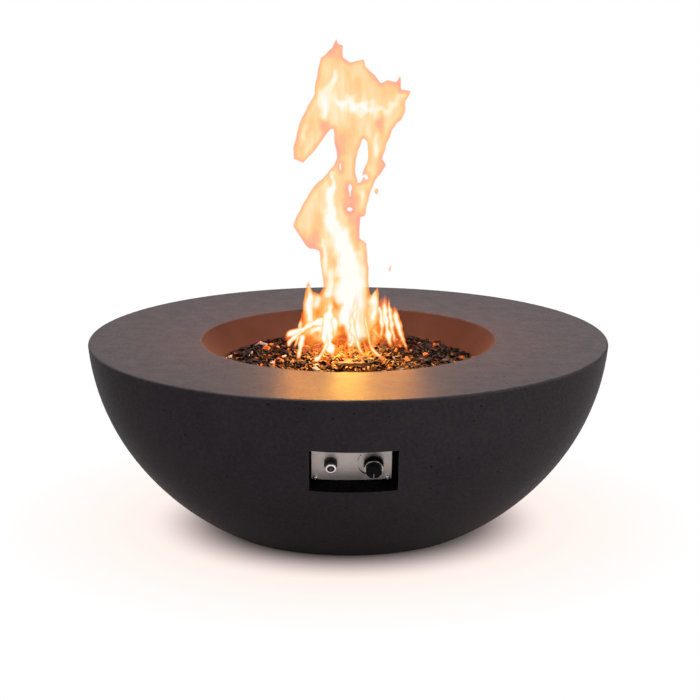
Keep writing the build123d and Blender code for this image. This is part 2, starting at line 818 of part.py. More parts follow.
def electrode_ceramic():
    body = rod(electrode_radius, probe_bottom, ring_z + 2)
    body = body + rod(electrode_collar, shelf_z, shelf_z + 4)
    bore = rod(electrode_wire + running_gap, ring_z - electrode_sink, ring_z + 3)
    return Pos(electrode_x, probe_y, 0) * (body - bore)


def electrode_wire_piece():
    tip_y = -ring_radius - ring_tube / 2
    points = [
        (electrode_x, probe_y, ring_z - electrode_sink),
        (electrode_x, probe_y, ring_z + ring_tube + 4),
        (electrode_x, tip_y, ring_z + ring_tube + 8),
    ]
    return bent_rod("electrode_wire", points, electrode_wire)


def thermocouple():
    ring_top = ring_z + ring_tube
    body = rod(thermocouple_radius, probe_bottom, ring_top)
    body = body + rod(thermocouple_collar, shelf_z, shelf_z + 2)
    body = body + rod(thermocouple_tip, ring_top - 1, ring_top + probe_rise)
    return Pos(thermocouple_x, probe_y, 0) * body


magnet_back = -(panel_sheet + valve_depth + rear_boss_height + magnet_hex_height + magnet_length)
nut_back = magnet_back - lead_nut_length


def thermocouple_nut():
    return knob_frame * hex_nut(lead_nut_across, capillary_radius + screw_fit, nut_back, magnet_back)


def lead_route(frame, start, leave, probe_x):
    """Points from a place behind the panel, straight back, then hanging, and up to a probe."""
    out = Vector(*in_world(frame, 0, 0, leave))
    end = Vector(probe_x, probe_y, probe_bottom)
    hung = [out + (end - out) * share - Vector(0, 0, lead_sag * sag) for share, sag in lead_hang]
    return [in_world(frame, 0, 0, start), tuple(out)] + [tuple(point) for point in hung] + [tuple(end)]


def thermocouple_lead():
    route = lead_route(knob_frame, magnet_back + 0.5, nut_back - lead_leave, thermocouple_x)
    return bent_rod("thermocouple_lead", route, capillary_radius)


def ignition_lead():
    boot_end = -igniter_depth - boot_length
    route = lead_route(igniter_frame, boot_end, boot_end - lead_leave, electrode_x)
    return bent_rod("ignition_lead", route, lead_radius)


def control_panel():
    """A flat steel plate with four screw holes, its lower edge cut to a slight bow."""
    half = panel_width / 2
    low = -panel_tall / 2
    outline = make_face(
        Curve()
        + [
            ThreePointArc((-half, low), (0, low - panel_sag), (half, low)),
            Polyline((half, low), (half, -low), (-half, -low), (-half, low)),
        ]
    )
    outline = fillet(outline.vertices(), panel_corner)
    plate = panel_middle * extrude(outline, -panel_sheet)
    for place in panel_screw_places:
        plate = plate - place * rod(screw_radius + hole_play, -2 * panel_sheet, 1)
    plate = plate - knob_frame * rod(nose_radius + hole_play, -2 * panel_sheet, 1)
    return plate - igniter_frame * rod(igniter_radius + hole_play, -2 * panel_sheet, 1)


def valve_body():
    back = -panel_sheet - valve_depth
    block = Pos(0, 0, (back - panel_sheet) / 2) * Box(valve_width, valve_tall, valve_depth)
    block = fillet(block.edges(), valve_edge)
    valve = block + rod(nose_radius, -panel_sheet - 5, nose_length)
    valve = valve + rod(rear_boss, back - rear_boss_height, back + 2)
    side = valve_width / 2
    outlet = Pos(-side - port_boss_height / 2 + 1, 0, -outlet_depth) * Rot(0, 90, 0)
    valve = valve + outlet * Cylinder(port_boss, port_boss_height + 2)
    inlet = Pos(side + port_boss_height / 2 - 1, 0, -inlet_depth) * Rot(0, 90, 0)
    valve = valve + inlet * Cylinder(port_boss, port_boss_height + 2)
    valve = valve - rod(rotor_radius + running_gap, -rotor_depth - 1, nose_length + 1)
    valve = valve - rod(magnet_neck + running_gap, back - rear_boss_height - 1, -rotor_depth)
    reach = side + port_boss_height + 1
    outlet_bore = Rot(0, 90, 0) * Cylinder(feed_radius + running_gap, reach)
    valve = valve - Pos(-reach / 2, 0, -outlet_depth) * outlet_bore
    valve = valve - Pos(reach / 2, 0, -inlet_depth) * Rot(0, 90, 0) * Cylinder(inlet_bore, reach)
    return knob_frame * valve


def safety_magnet():
    """The magnet unit that holds the gas open while the flame heats the thermocouple."""
    seat = -panel_sheet - valve_depth - rear_boss_height
    can = fillet(rod(magnet_radius, magnet_back, seat - 5).edges().group_by(Axis.Z)[0], 1.5)
    body = hex_bar(magnet_hex, seat - magnet_hex_height, seat) + can
    body = body + rod(magnet_neck, seat - 1, -rotor_depth - 8)
    body = body + rod(magnet_pin, -rotor_depth - 9, -rotor_depth - 0.6)
    return knob_frame * (body - rod(capillary_radius + screw_fit, magnet_back - 1, magnet_back + 0.6))


def gas_inlet_elbow():
    """The flare fitting for the gas hose, turned down the slope behind the panel."""
    from_valve = valve_width / 2 + port_boss_height
    run = Pos((from_valve + inlet_reach + 2) / 2, 0, 0) * Rot(0, 90, 0)
    elbow = run * Cylinder(port_boss, inlet_reach + 2 - from_valve)
    drop = port_boss + inlet_stub
    thread = drop + inlet_hex_height
    tip = thread + flare_length
    down = Pos(inlet_reach + 2, 0, 0) * Rot(90 + inlet_tilt, 0, 0)
    leg = rod(port_boss, -2, drop) + hex_bar(inlet_hex, drop, thread) + rod(flare_radius, thread, tip)
    leg = leg + Pos(0, 0, tip + flare_nose / 2) * Cone(flare_radius - 0.6, flare_radius - 3.6, flare_nose)
    elbow = elbow + down * Sphere(port_boss) + down * leg
    elbow = elbow - down * rod(inlet_bore, 0, tip + flare_nose + 1)
    cross = Pos((from_valve + inlet_reach + 2) / 2 - 1, 0, 0) * Rot(0, 90, 0)
    elbow = elbow - cross * Cylinder(inlet_bore, inlet_reach + 4 - from_valve)
    fitting = knob_frame * Pos(0, 0, -inlet_depth) * down
    print("gas inlet thread from", in_world(fitting, 0, 0, thread))
    print("gas inlet thread to", in_world(fitting, 0, 0, tip))
    return knob_frame * Pos(0, 0, -inlet_depth) * elbow


def stem_section(radius, flat):
    """A round section with one flat, which turns the valve."""
    return Circle(radius) & Pos(0, flat - radius) * Rectangle(4 * radius, 2 * radius)


def valve_rotor():
    section = Pos(0, 0, -rotor_depth - 1) * stem_section(stem_radius + running_gap, stem_flat + running_gap)
    bore = extrude(section, rotor_depth + nose_length + 1)
    return knob_frame * (rod(rotor_radius, -rotor_depth, nose_length - 0.5) - bore)


def valve_nut():
    return knob_frame * hex_nut(nose_nut_across, nose_radius + screw_fit, 0, nose_nut_height)


def knob_stem():
    section = Pos(0, 0, -stem_depth) * stem_section(stem_radius, stem_flat)
    return knob_frame * extrude(section, stem_depth + knob_ceiling - 0.5)


def control_knob():
    """A hollow moulded knob with a skirt, a waist for the trim ring and a flat face."""
    knob = spun_points(
        (0, knob_stand),
        (knob_skirt, knob_stand),
        (knob_skirt, knob_stand + 4),
        (knob_waist, trim_low),
        (knob_face - 0.4, trim_low),
        (knob_face - 0.4, trim_high),
        (knob_face, trim_high),
        (knob_face, knob_height),
        (0, knob_height),
    )
    knob = fillet(knob.edges().filter_by(GeomType.CIRCLE).group_by(Axis.Z)[-1], knob_round)
    wide = rod(knob_cavity, knob_stand - 1, knob_stand + 8)
    narrow = rod(knob_cavity - 2, knob_stand, knob_ceiling)
    hub_low = knob_stand + knob_travel + 0.1
    hub = rod(knob_hub, hub_low, knob_ceiling + 1)
    section = Pos(0, 0, hub_low - 1) * stem_section(stem_radius + screw_fit, stem_flat + screw_fit)
    socket = extrude(section, knob_ceiling - hub_low + 1)
    knob = knob - wide - narrow + hub - socket
    groove = Pos(knob_skirt + 0.7, 0, 0) * rod(knob_groove, knob_stand - 1, trim_low - 2)
    knob = knob - [Rot(0, 0, turn) * groove for turn in range(0, 360, knob_groove_step)]
    slot = Box(pointer_width + 2 * screw_fit, pointer_length, 2 * pointer_depth)
    return knob_frame * (knob - Pos(0, pointer_y, knob_height) * slot)


def knob_trim_ring():
    ring = pipe(trim_radius, knob_face + screw_fit, trim_low, trim_high)
    return knob_frame * fillet(ring.edges().filter_by(GeomType.CIRCLE).group_by(Axis.Z)[-1][-1], 0.6)


def knob_pointer():
    bar = Box(pointer_width, pointer_length - 2 * screw_fit, pointer_depth)
    return knob_frame * Pos(0, pointer_y, knob_height - pointer_depth / 2) * bar


def knob_spring():
    low, high = nose_nut_height, knob_ceiling
    return knob_frame * coil(knob_spring_radius, knob_spring_wire, low, high, knob_spring_turns)


cap_low = collar_height + cap_play
cap_floor = collar_height + neck_height + 0.2
button_face = cap_front + button_proud
flange_top = cap_front - cap_wall - cap_play
flange_low = flange_top - button_wall
cap_room = flange_low - button_travel - cap_play - 0.1
battery_front = -battery_sink
battery_back = battery_front - battery_length


def igniter_housing():
    """The igniter's barrel: a battery tube with a threaded front and a flange behind the panel."""
    neck_end = collar_height + neck_height
    body = rod(igniter_radius, -igniter_depth, collar_height) + rod(neck_radius, 0, neck_end)
    body = body + rod(igniter_flange, -panel_sheet - igniter_flange_height, -panel_sheet)
    body = body - rod(battery_radius + battery_gap, battery_back - contact_height, neck_end + 1)
    return igniter_frame * body


def igniter_ring_nut():
    """The fluted chrome collar that clamps the barrel to the panel."""
    nut = pipe(collar_radius, igniter_radius + screw_fit, 0, collar_height)
    for i in range(collar_flutes):
        groove = Pos(collar_radius + 0.6, 0, 0) * rod(flute_radius, -1, collar_height - 1.5)
        nut = nut - Rot(0, 0, 360 / collar_flutes * i) * groove
    return igniter_frame * nut


def igniter_cap():
    cap = rod(cap_radius, cap_low, cap_front)
    cap = fillet(cap.edges().group_by(Axis.Z)[-1], 1.2)
    cap = cap - rod(neck_radius + running_gap, cap_low - 1, cap_floor)
    cap = cap - rod(cap_screw_hole, cap_floor - 1, cap_room + 1)
    cap = cap - rod(button_flange + cap_play, cap_room, cap_front - cap_wall)
    cap = cap - rod(button_radius + 0.1, cap_front - cap_wall - 1, cap_front + 1)
    return igniter_frame * cap


def igniter_button():
    button = rod(button_radius, flange_low, button_face)
    button = button + rod(button_flange, flange_low, flange_top)
    button = fillet(button.edges().group_by(Axis.Z)[-1], 0.5)
    button = button - rod(button_radius - button_wall, flange_low - 1, button_face - button_wall)
    button = button - rod(dot_radius + screw_fit, button_face - dot_sink, button_face + 1)
    return igniter_frame * button


def button_dot():
    return igniter_frame * rod(dot_radius, button_face - dot_sink, button_face + dot_proud)


def button_spring():
    low, high = cap_room, button_face - button_wall
    return igniter_frame * coil(button_spring_radius, button_spring_wire, low, high, button_spring_turns)


def battery():
    cell = fillet(rod(battery_radius, battery_back, battery_front - 1).edges(), 0.6)
    return igniter_frame * (cell + rod(battery_tip, battery_front - 2, battery_front))


def battery_contact():
    """The coil spring at the back of the battery tube."""
    low = battery_back - contact_height
    return igniter_frame * coil(contact_radius, contact_wire, low, battery_back, contact_turns)


def igniter_terminals():
    blade = Box(terminal_width, terminal_sheet, terminal_length)
    return igniter_frame * Pos(0, 0, -igniter_depth - terminal_length / 2) * blade


def lead_boot():
    """The insulating boot over the igniter's terminal."""
    boot = rod(boot_radius, -igniter_depth - boot_length, -igniter_depth)
    room = Box(terminal_width + 0.1, terminal_sheet + 0.1, terminal_length + 0.1)
    return igniter_frame * (boot - Pos(0, 0, -igniter_depth - terminal_length / 2) * room)


def panel_screws():
    panel_screw = screw(screw_length, panel_screw_head, panel_screw_head_height)
    return Compound(children=[place * panel_screw for place in panel_screw_places])


def pan_screws():
    return Compound(children=[place * screw() for place in pan_screw_places])


pieces = {
    "bowl_shell": bowl_shell,
    "foot_pads": foot_pads,
    "burner_pan": burner_pan,
    "pan_screws": pan_screws,
    "lava_bed": lava_bed,
    "lava_stones": lava_stones,
    "burner_ring": burner_ring,
    "burner_lock_nut": burner_lock_nut,
    "air_mixer": air_mixer,
    "air_shutter": air_shutter,
    "orifice_elbow": orifice_elbow,
    "gas_feed_tube": gas_feed_tube,
    "tube_nuts": tube_nuts,
    "igniter_guard": igniter_guard,
    "guard_screws": guard_screws,
    "electrode_ceramic": electrode_ceramic,
    "electrode_wire": electrode_wire_piece,
    "thermocouple": thermocouple,
    "thermocouple_nut": thermocouple_nut,
    "thermocouple_lead": thermocouple_lead,
    "ignition_lead": ignition_lead,
    "control_panel": control_panel,
    "panel_screws": panel_screws,
    "valve_body": valve_body,
    "safety_magnet": safety_magnet,
    "gas_inlet_elbow": gas_inlet_elbow,
    "valve_rotor": valve_rotor,
    "valve_nut": valve_nut,
    "knob_stem": knob_stem,
    "control_knob": control_knob,
    "knob_trim_ring": knob_trim_ring,
    "knob_pointer": knob_pointer,
    "knob_spring": knob_spring,
    "igniter_housing": igniter_housing,
    "igniter_ring_nut": igniter_ring_nut,
    "igniter_cap": igniter_cap,
    "igniter_button": igniter_button,
    "button_dot": button_dot,
    "button_spring": button_spring,
    "battery": battery,
    "battery_contact": battery_contact,
    "igniter_terminal": igniter_terminals,
    "lead_boot": lead_boot,
}
for name, make in pieces.items():
    save(make(), name)
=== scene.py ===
# %% [markdown]
# # A gas fire pit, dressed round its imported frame
# The construction is already there: every casting, tube, nut and knob comes in at its real
# place, in metres. This lesson adds what the eye judges: cast concrete, brushed and heated
# steel, a bed of broken lava, the marks round the knob, two springs that close, a flame, and
# a studio to stand in.

# %% Load the frame
import json
import random
from math import cos, exp, hypot, pi, radians, sin, sqrt

import bmesh
import bpy
from mathutils import Matrix, Vector, noise


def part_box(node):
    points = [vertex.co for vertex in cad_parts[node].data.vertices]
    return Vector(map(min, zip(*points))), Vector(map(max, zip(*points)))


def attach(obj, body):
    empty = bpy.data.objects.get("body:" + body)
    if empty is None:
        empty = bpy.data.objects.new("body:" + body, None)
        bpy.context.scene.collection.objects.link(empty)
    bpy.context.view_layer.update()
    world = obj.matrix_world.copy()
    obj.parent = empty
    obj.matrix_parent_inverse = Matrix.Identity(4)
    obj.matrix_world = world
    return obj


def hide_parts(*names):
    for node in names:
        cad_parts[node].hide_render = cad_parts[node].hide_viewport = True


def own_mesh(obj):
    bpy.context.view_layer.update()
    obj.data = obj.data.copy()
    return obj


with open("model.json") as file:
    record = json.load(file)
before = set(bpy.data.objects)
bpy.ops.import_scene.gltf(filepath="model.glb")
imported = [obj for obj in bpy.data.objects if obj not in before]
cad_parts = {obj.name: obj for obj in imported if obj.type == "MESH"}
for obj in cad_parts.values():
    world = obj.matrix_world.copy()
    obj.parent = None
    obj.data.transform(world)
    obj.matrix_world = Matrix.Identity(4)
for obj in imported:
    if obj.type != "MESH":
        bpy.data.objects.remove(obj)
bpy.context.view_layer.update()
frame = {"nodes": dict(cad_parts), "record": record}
nodes = frame["nodes"]
scene = bpy.context.scene


# %% Putting things in the scene
def placed(name, data, place=(0, 0, 0)):
    """An object in the scene that holds a mesh, a lamp or a camera."""
    made = bpy.data.objects.new(name, data)
    made.location = place
    scene.collection.objects.link(made)
    return made


def shaped(name, points, faces, material):
    """An object in the scene, made of points and faces, with one material."""
    mesh = bpy.data.meshes.new(name)
    mesh.from_pydata(points, [], faces)
    mesh.materials.append(material)
    return placed(name, mesh)


print("object helpers ready")

# %% [markdown]
# ## The camera
# The picture shows the bowl from about chest height with a long lens, so the rim is a flat
# ellipse and the far edge is hardly smaller than the near one. A lens is the focal length in
# pixels times the sensor's width over the picture's width, so the numbers below are measured
# once from the ellipses and never touched again.

# %% Camera
picture_width = 700
focal_pixels = 2521
sensor_width = 36.0
camera_distance = 5.065
camera_height = 1.5208
camera_pitch = radians(12.879)
bowl_turn = radians(1.29)
step_aside = 0.0037

lens = bpy.data.cameras.new("studio_camera")
lens.sensor_fit = "HORIZONTAL"
lens.sensor_width = sensor_width
lens.lens = focal_pixels / picture_width * sensor_width
lens.clip_end = 200
right_hand = Vector((cos(bowl_turn), -sin(bowl_turn), 0))
backwards = Vector((-sin(bowl_turn), -cos(bowl_turn), 0))
stand = camera_distance * backwards + step_aside * right_hand + Vector((0, 0, camera_height))
camera = placed("studio_camera", lens, stand)
camera.rotation_euler = (pi / 2 - camera_pitch, 0, -bowl_turn)
scene.camera = camera
scene.view_settings.view_transform = "Standard"
print("lens", round(lens.lens, 1), "mm at", [round(v, 3) for v in camera.location])

# %% [markdown]
# ## Wiring shader nodes
# Materials here are built in code, so small helpers keep each one readable. `add` makes a
# node, sets its options and joins or fills its inputs. The others are short names for what is
# used most: sums, blends, ranges, and soft random patches.


# %% Node helpers
def fill(tree, socket, value):
    """Joins a socket to another node's output, or gives it a plain value."""
    if isinstance(value, bpy.types.NodeSocket):
        tree.links.new(value, socket)
    else:
        socket.default_value = value


def add(tree, kind, values=(), **options):
    """A node with its options set and its inputs filled, by name or number."""
    made = tree.nodes.new("ShaderNode" + kind)
    for option, value in options.items():
        setattr(made, option, value)
    for label, value in dict(values).items():
        fill(tree, made.inputs[label], value)
    return made


def calc(tree, operation, *values, clamp=False):
    """The result of one sum on one, two or three values."""
    return add(tree, "Math", enumerate(values), operation=operation, use_clamp=clamp).outputs[0]


def vector(tree, operation, *values):
    """The result of one sum on vectors, which for a length or a dot product is a number."""
    made = add(tree, "VectorMath", enumerate(values), operation=operation)
    return made.outputs["Value" if operation in ("LENGTH", "DOT_PRODUCT") else "Vector"]


def mixed(tree, share, first, second):
    """Two colours mixed by a share from 0 to 1."""
    return add(tree, "Mix", {0: share, 6: first, 7: second}, data_type="RGBA").outputs[2]


def spread(tree, value, low, high, to_low=0.0, to_high=1.0):
    """A value taken from one range to another, and held inside it."""
    return add(tree, "MapRange", enumerate((value, low, high, to_low, to_high))).outputs[0]


def here(tree):
    """The place of each point, in metres."""
    return add(tree, "TexCoord").outputs["Object"]


def noisy(tree, place, scale, detail, roughness=0.5, distortion=0.0):
    """Soft random values, in patches that get smaller as the scale goes up."""
    values = {"Vector": place, "Scale": scale, "Detail": detail}
    values.update({"Roughness": roughness, "Distortion": distortion})
    return add(tree, "TexNoise", values).outputs[0]


def emptied(owner):
    """The node tree of a material or world, with nothing in it."""
    owner.use_nodes = True
    owner.node_tree.nodes.clear()
    return owner.node_tree


def colour(red, green, blue):
    return (red, green, blue, 1.0)


print("helpers ready")

# %% [markdown]
# ## The studio
# A white sweep with one broad lamp overhead, two weak ones lower down and a faint sky. The
# background is white only for rays that the eye follows, so that the side of the bowl, which
# faces the floor, stays as dark as it does on a dark terrace. Near the bowl the paper keeps
# its shadow, and round that the fire's warm glow is painted into the paper: pink near the
# bowl, fading to white further out. From below it is clear, so that the underside of the
# bowl can be looked at too.


# %% Rays that the eye follows
def followed(tree):
    """One for a ray from the eye, straight, mirrored or through something clear, else zero."""
    path = add(tree, "LightPath").outputs
    direct = calc(tree, "MAXIMUM", path["Is Camera Ray"], path["Is Glossy Ray"])
    return calc(tree, "MAXIMUM", direct, path["Is Transmission Ray"])


print("ray helper ready")

# %% Sky
world = bpy.data.worlds.new("studio_sky")
scene.world = world
sky = emptied(world)
seen = followed(sky)
sky_light = add(sky, "Background", {"Color": colour(0.96, 0.97, 1.0), "Strength": 0.16})
sky_white = add(sky, "Background", {"Color": colour(1, 1, 1), "Strength": 1.0})
shown = add(sky, "MixShader", {0: seen, 1: sky_light.outputs[0], 2: sky_white.outputs[0]})
add(sky, "OutputWorld", {"Surface": shown.outputs[0]})
print("sky strength", sky_light.inputs["Strength"].default_value)

# %% Floor
floor_reach = 40.0
shadow_reach = (0.235, 0.42)
warm_reach, pale_reach, white_reach = 0.28, 0.5, 0.72

paper = bpy.data.materials.new("studio_paper")
tree = emptied(paper)
far = vector(tree, "LENGTH", here(tree))
soft_step = {0: far, 1: shadow_reach[0], 2: shadow_reach[1]}
white_share = add(tree, "MapRange", soft_step, interpolation_type="SMOOTHSTEP").outputs[0]
seen = followed(tree)
# For the eye, the paper near the bowl, which keeps its shadow, is tinted pink: painted firelight.
paper_tone = mixed(tree, seen, colour(0.27, 0.245, 0.27), colour(0.97, 0.88, 0.85))
lit_paper = add(tree, "BsdfDiffuse", {"Color": paper_tone}).outputs[0]
# Painted glow of the fire: the glowing paper is warm pink near the bowl, paler further out, then white.
to_pale = spread(tree, far, warm_reach, pale_reach)
to_white = spread(tree, far, pale_reach, white_reach)
painted_glow_tone = mixed(tree, to_pale, colour(1.0, 0.82, 0.78), colour(1.0, 0.935, 0.89))
painted_glow_tone = mixed(tree, to_white, painted_glow_tone, colour(1, 1, 1))
paper_with_painted_glow = add(tree, "Emission", {"Color": painted_glow_tone, "Strength": 1.0}).outputs[0]
outer = calc(tree, "MULTIPLY", white_share, seen)
surface = add(tree, "MixShader", {0: outer, 1: lit_paper, 2: paper_with_painted_glow}).outputs[0]
below = add(tree, "NewGeometry").outputs["Backfacing"]
clear_paper = add(tree, "BsdfTransparent").outputs[0]
surface = add(tree, "MixShader", {0: below, 1: surface, 2: clear_paper}).outputs[0]
add(tree, "OutputMaterial", {"Surface": surface})

corners = [(x * floor_reach, y * floor_reach, 0) for x, y in ((-1, -1), (1, -1), (1, 1), (-1, 1))]
shaped("studio_floor", corners, [(0, 1, 2, 3)], paper)
print("floor", 2 * floor_reach, "m wide")


# %% Lamps
def softbox(name, place, target, size, power, tone):
    """A square lamp that faces a point."""
    light = bpy.data.lights.new(name, "AREA")
    light.size = size
    light.energy = power
    light.color = tone
    lamp = placed(name, light, place)
    lamp.rotation_euler = (Vector(place) - Vector(target)).to_track_quat("Z", "Y").to_euler()


bowl_middle = (0, 0, 0.3)
softbox("overhead", (0.2, 0.1, 3.3), bowl_middle, 1.5, 70, (1.0, 0.985, 0.98))
softbox("right_fill", (3.2, -1.2, 0.7), bowl_middle, 1.2, 14, (1.0, 0.98, 0.97))
softbox("front_fill", (-1.4, -3.6, 1.2), bowl_middle, 1.6, 9, (1.0, 0.97, 0.98))
print("three softboxes")

# %% [markdown]
# ## Effects that several materials share
# Each effect is a node group, made once: it takes plain numbers and gives back a mask, a
# height or a colour. The materials then differ only in the numbers that they hand over.


# %% Group maker
def new_group(name, takes, gives):
    """An empty node group with named sockets: its tree, its inputs as sources, its outputs."""
    group = bpy.data.node_groups.new(name, "ShaderNodeTree")
    for label, kind, value in takes:
        socket = group.interface.new_socket(name=label, in_out="INPUT", socket_type="NodeSocket" + kind)
        socket.default_value = value
    for label, kind in gives:
        group.interface.new_socket(name=label, in_out="OUTPUT", socket_type="NodeSocket" + kind)
    taken = group.nodes.new("NodeGroupInput").outputs
    given = group.nodes.new("NodeGroupOutput").inputs
    return group, taken, given


def use(tree, group, **values):
    """A group placed in a material, with its inputs by name, underscores for spaces."""
    made = add(tree, "Group", node_tree=group)
    for label, value in values.items():
        fill(tree, made.inputs[label.replace("_", " ")], value)
    return made.outputs


print("group maker ready")

# %% Mottling
mottling, taken, given = new_group(
    "mottling",
    [("Scale", "Float", 12.0), ("Sharpness", "Float", 0.5)],
    [("Mask", "Float")],
)
broad = noisy(mottling, here(mottling), taken["Scale"], 7.0, 0.62)
half_width = calc(mottling, "MULTIPLY_ADD", taken["Sharpness"], -0.24, 0.26)
low = calc(mottling, "SUBTRACT", 0.5, half_width)
high = calc(mottling, "ADD", 0.5, half_width)
mottling.links.new(spread(mottling, broad, low, high), given["Mask"])
print("group", mottling.name)

# %% Grain and pits
grain, taken, given = new_group(
    "grain",
    [("Scale", "Float", 400.0), ("Pits", "Float", 0.0), ("Pit Scale", "Float", 90.0)],
    [("Height", "Float"), ("Pit Mask", "Float")],
)
spot = here(grain)
fine = noisy(grain, spot, taken["Scale"], 4.0, 0.7)
cells = add(grain, "TexVoronoi", {"Vector": spot, "Scale": taken["Pit Scale"], "Randomness": 1.0})
chance = add(grain, "SeparateColor", {0: cells.outputs["Color"]}).outputs[0]
size = spread(grain, chance, 0.7, 1.0, 0.0, 0.22)
hole = spread(grain, calc(grain, "SUBTRACT", size, cells.outputs["Distance"]), 0.0, 0.06)
hole = calc(grain, "MULTIPLY", hole, taken["Pits"])
sunk = calc(grain, "MULTIPLY", hole, 2.5)
grain.links.new(calc(grain, "SUBTRACT", fine, sunk), given["Height"])
grain.links.new(hole, given["Pit Mask"])
print("group", grain.name)

# %% Edge wear
edge_wear, taken, given = new_group(
    "edge wear",
    [("Radius", "Float", 0.002), ("Amount", "Float", 1.0), ("Scale", "Float", 60.0)],
    [("Mask", "Float")],
)
rounded = add(edge_wear, "Bevel", {"Radius": taken["Radius"]}, samples=4).outputs[0]
flat = add(edge_wear, "NewGeometry").outputs["Normal"]
corner = spread(edge_wear, vector(edge_wear, "DOT_PRODUCT", rounded, flat), 0.995, 0.86)
broken = noisy(edge_wear, here(edge_wear), taken["Scale"], 5.0)
broken = spread(edge_wear, broken, 0.36, 0.62)
worn = calc(edge_wear, "MULTIPLY", calc(edge_wear, "MULTIPLY", corner, broken), taken["Amount"])
edge_wear.links.new(worn, given["Mask"])
print("group", edge_wear.name)

# %% Brushed lines
brushed, taken, given = new_group(
    "brushed lines",
    [("Along", "Float", 14.0), ("Across", "Float", 1500.0)],
    [("Height", "Float"), ("Mask", "Float")],
)
scales = {0: taken["Along"], 1: taken["Across"], 2: taken["Across"]}
stretch = add(brushed, "CombineXYZ", scales).outputs[0]
stroke = noisy(brushed, vector(brushed, "MULTIPLY", here(brushed), stretch), 1.0, 3.0, 0.6)
brushed.links.new(stroke, given["Height"])
brushed.links.new(spread(brushed, stroke, 0.32, 0.68), given["Mask"])
print("group", brushed.name)


# %% Colour ramps
def fill_ramp(node, stops):
    """Gives a colour ramp its stops: places from 0 to 1 with a colour each, lowest first."""
    ramp = node.color_ramp.elements
    ramp[0].position, ramp[0].color = stops[0]
    ramp[1].position, ramp[1].color = stops[-1]
    for position, shade in stops[1:-1]:
        ramp.new(position).color = shade


print("ramp helper ready")

# %% Heat colours
heat_colours, taken, given = new_group(
    "heat colours",
    [("Colour", "Color", colour(0.5, 0.48, 0.46)), ("Amount", "Float", 0.6), ("Scale", "Float", 14.0)],
    [("Colour", "Color")],
)
hazy = noisy(heat_colours, here(heat_colours), taken["Scale"], 3.0)
bands = add(heat_colours, "ValToRGB", {0: hazy})
fill_ramp(bands, [
    (0.3, colour(0.22, 0.25, 0.34)),
    (0.5, colour(0.42, 0.25, 0.16)),
    (0.7, colour(0.62, 0.5, 0.3)),
])
tinted = mixed(heat_colours, taken["Amount"], taken["Colour"], bands.outputs[0])
heat_colours.links.new(tinted, given["Colour"])
print("group", heat_colours.name)

# %% Settled dust
dust, taken, given = new_group(
    "settled dust",
    [("Amount", "Float", 0.5), ("Scale", "Float", 22.0)],
    [("Mask", "Float")],
)
facing = add(dust, "SeparateXYZ", {0: add(dust, "NewGeometry").outputs["Normal"]}).outputs[2]
upward = spread(dust, facing, 0.35, 0.95)
drift = spread(dust, noisy(dust, here(dust), taken["Scale"], 6.0, 0.7), 0.38, 0.66)
lying = calc(dust, "MULTIPLY", upward, drift)
dust.links.new(calc(dust, "MULTIPLY", lying, taken["Amount"]), given["Mask"])
print("group", dust.name)

# %% [markdown]
# ## Cast concrete
# The bowl is concrete, cast upside down in a smooth mould, tinted a warm charcoal and sealed.
# Three things say so at this distance: clouds of slightly lighter paste, tiny air holes, and a
# rim whose edges have rubbed paler. The sealer shines only a little, so the flame is mirrored
# as a blurred glow in the part of the rim that lies between it and the eye. The wall of the
# well carries a painted warm shade, darker and redder than the rim, and the inside of the
# recess round the controls carries a painted shade, nearly black. Both are part of the one
# casting, so masks find them by their place instead of by separate pieces.


# %% Material maker
def new_material(name, roughness, metallic=0.0, gloss=0.5):
    """A material with its Principled shader, ready for wiring."""
    made = bpy.data.materials.new(name)
    made.use_nodes = True
    shader = made.node_tree.nodes["Principled BSDF"]
    shader.inputs["Roughness"].default_value = roughness
    shader.inputs["Metallic"].default_value = metallic
    shader.inputs["Specular IOR Level"].default_value = gloss
    return made, made.node_tree, shader


def wire(tree, shader, base, rough, normal):
    """Hands the shader its colour, roughness and normal."""
    for label, value in (("Base Color", base), ("Roughness", rough), ("Normal", normal)):
        fill(tree, shader.inputs[label], value)


def bumped(tree, height, depth, distance=0.001):
    """A normal bent by a height."""
    return add(tree, "Bump", {"Height": height, "Strength": depth, "Distance": distance}).outputs[0]


finishes = {}
print("material maker ready")

# %% Painted shade in the well and the recess
well_reach = 0.3015
well_depth = 0.09
well_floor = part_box("bowl_shell")[1].z - well_depth
plate_up = Vector((0, -0.418968, 0.908001))
plate_out = Vector((0, -0.908001, -0.418968))
recess_middle = Vector((0, -0.4601, 0.25095))
recess_half_width, recess_half_height = 0.0845, 0.0488
recess_behind = 0.05


def well_shade_mask(tree):
    """Where the concrete is the wall of the fire well, which gets a painted warm shade."""
    spot = here(tree)
    out = vector(tree, "LENGTH", vector(tree, "MULTIPLY", spot, (1.0, 1.0, 0.0)))
    height = add(tree, "SeparateXYZ", {0: spot}).outputs[2]
    inside = spread(tree, out, well_reach + 0.0015, well_reach - 0.001)
    return calc(tree, "MULTIPLY", inside, calc(tree, "GREATER_THAN", height, well_floor))


def recess_shade_mask(tree):
    """Where the concrete is the inside of the control recess, which gets a painted shade, nearly black.
    """
    from_middle = vector(tree, "SUBTRACT", here(tree), recess_middle)
    parts = add(tree, "SeparateXYZ", {0: from_middle}).outputs
    along = vector(tree, "DOT_PRODUCT", from_middle, plate_up)
    narrow = calc(tree, "LESS_THAN", calc(tree, "ABSOLUTE", parts[0]), recess_half_width)
    low = calc(tree, "LESS_THAN", calc(tree, "ABSOLUTE", along), recess_half_height)
    front = calc(tree, "LESS_THAN", parts[1], recess_behind)
    return calc(tree, "MULTIPLY", calc(tree, "MULTIPLY", narrow, low), front)


print("well of radius", well_reach, "m")

# %% Concrete
sealer_gloss = 0.01

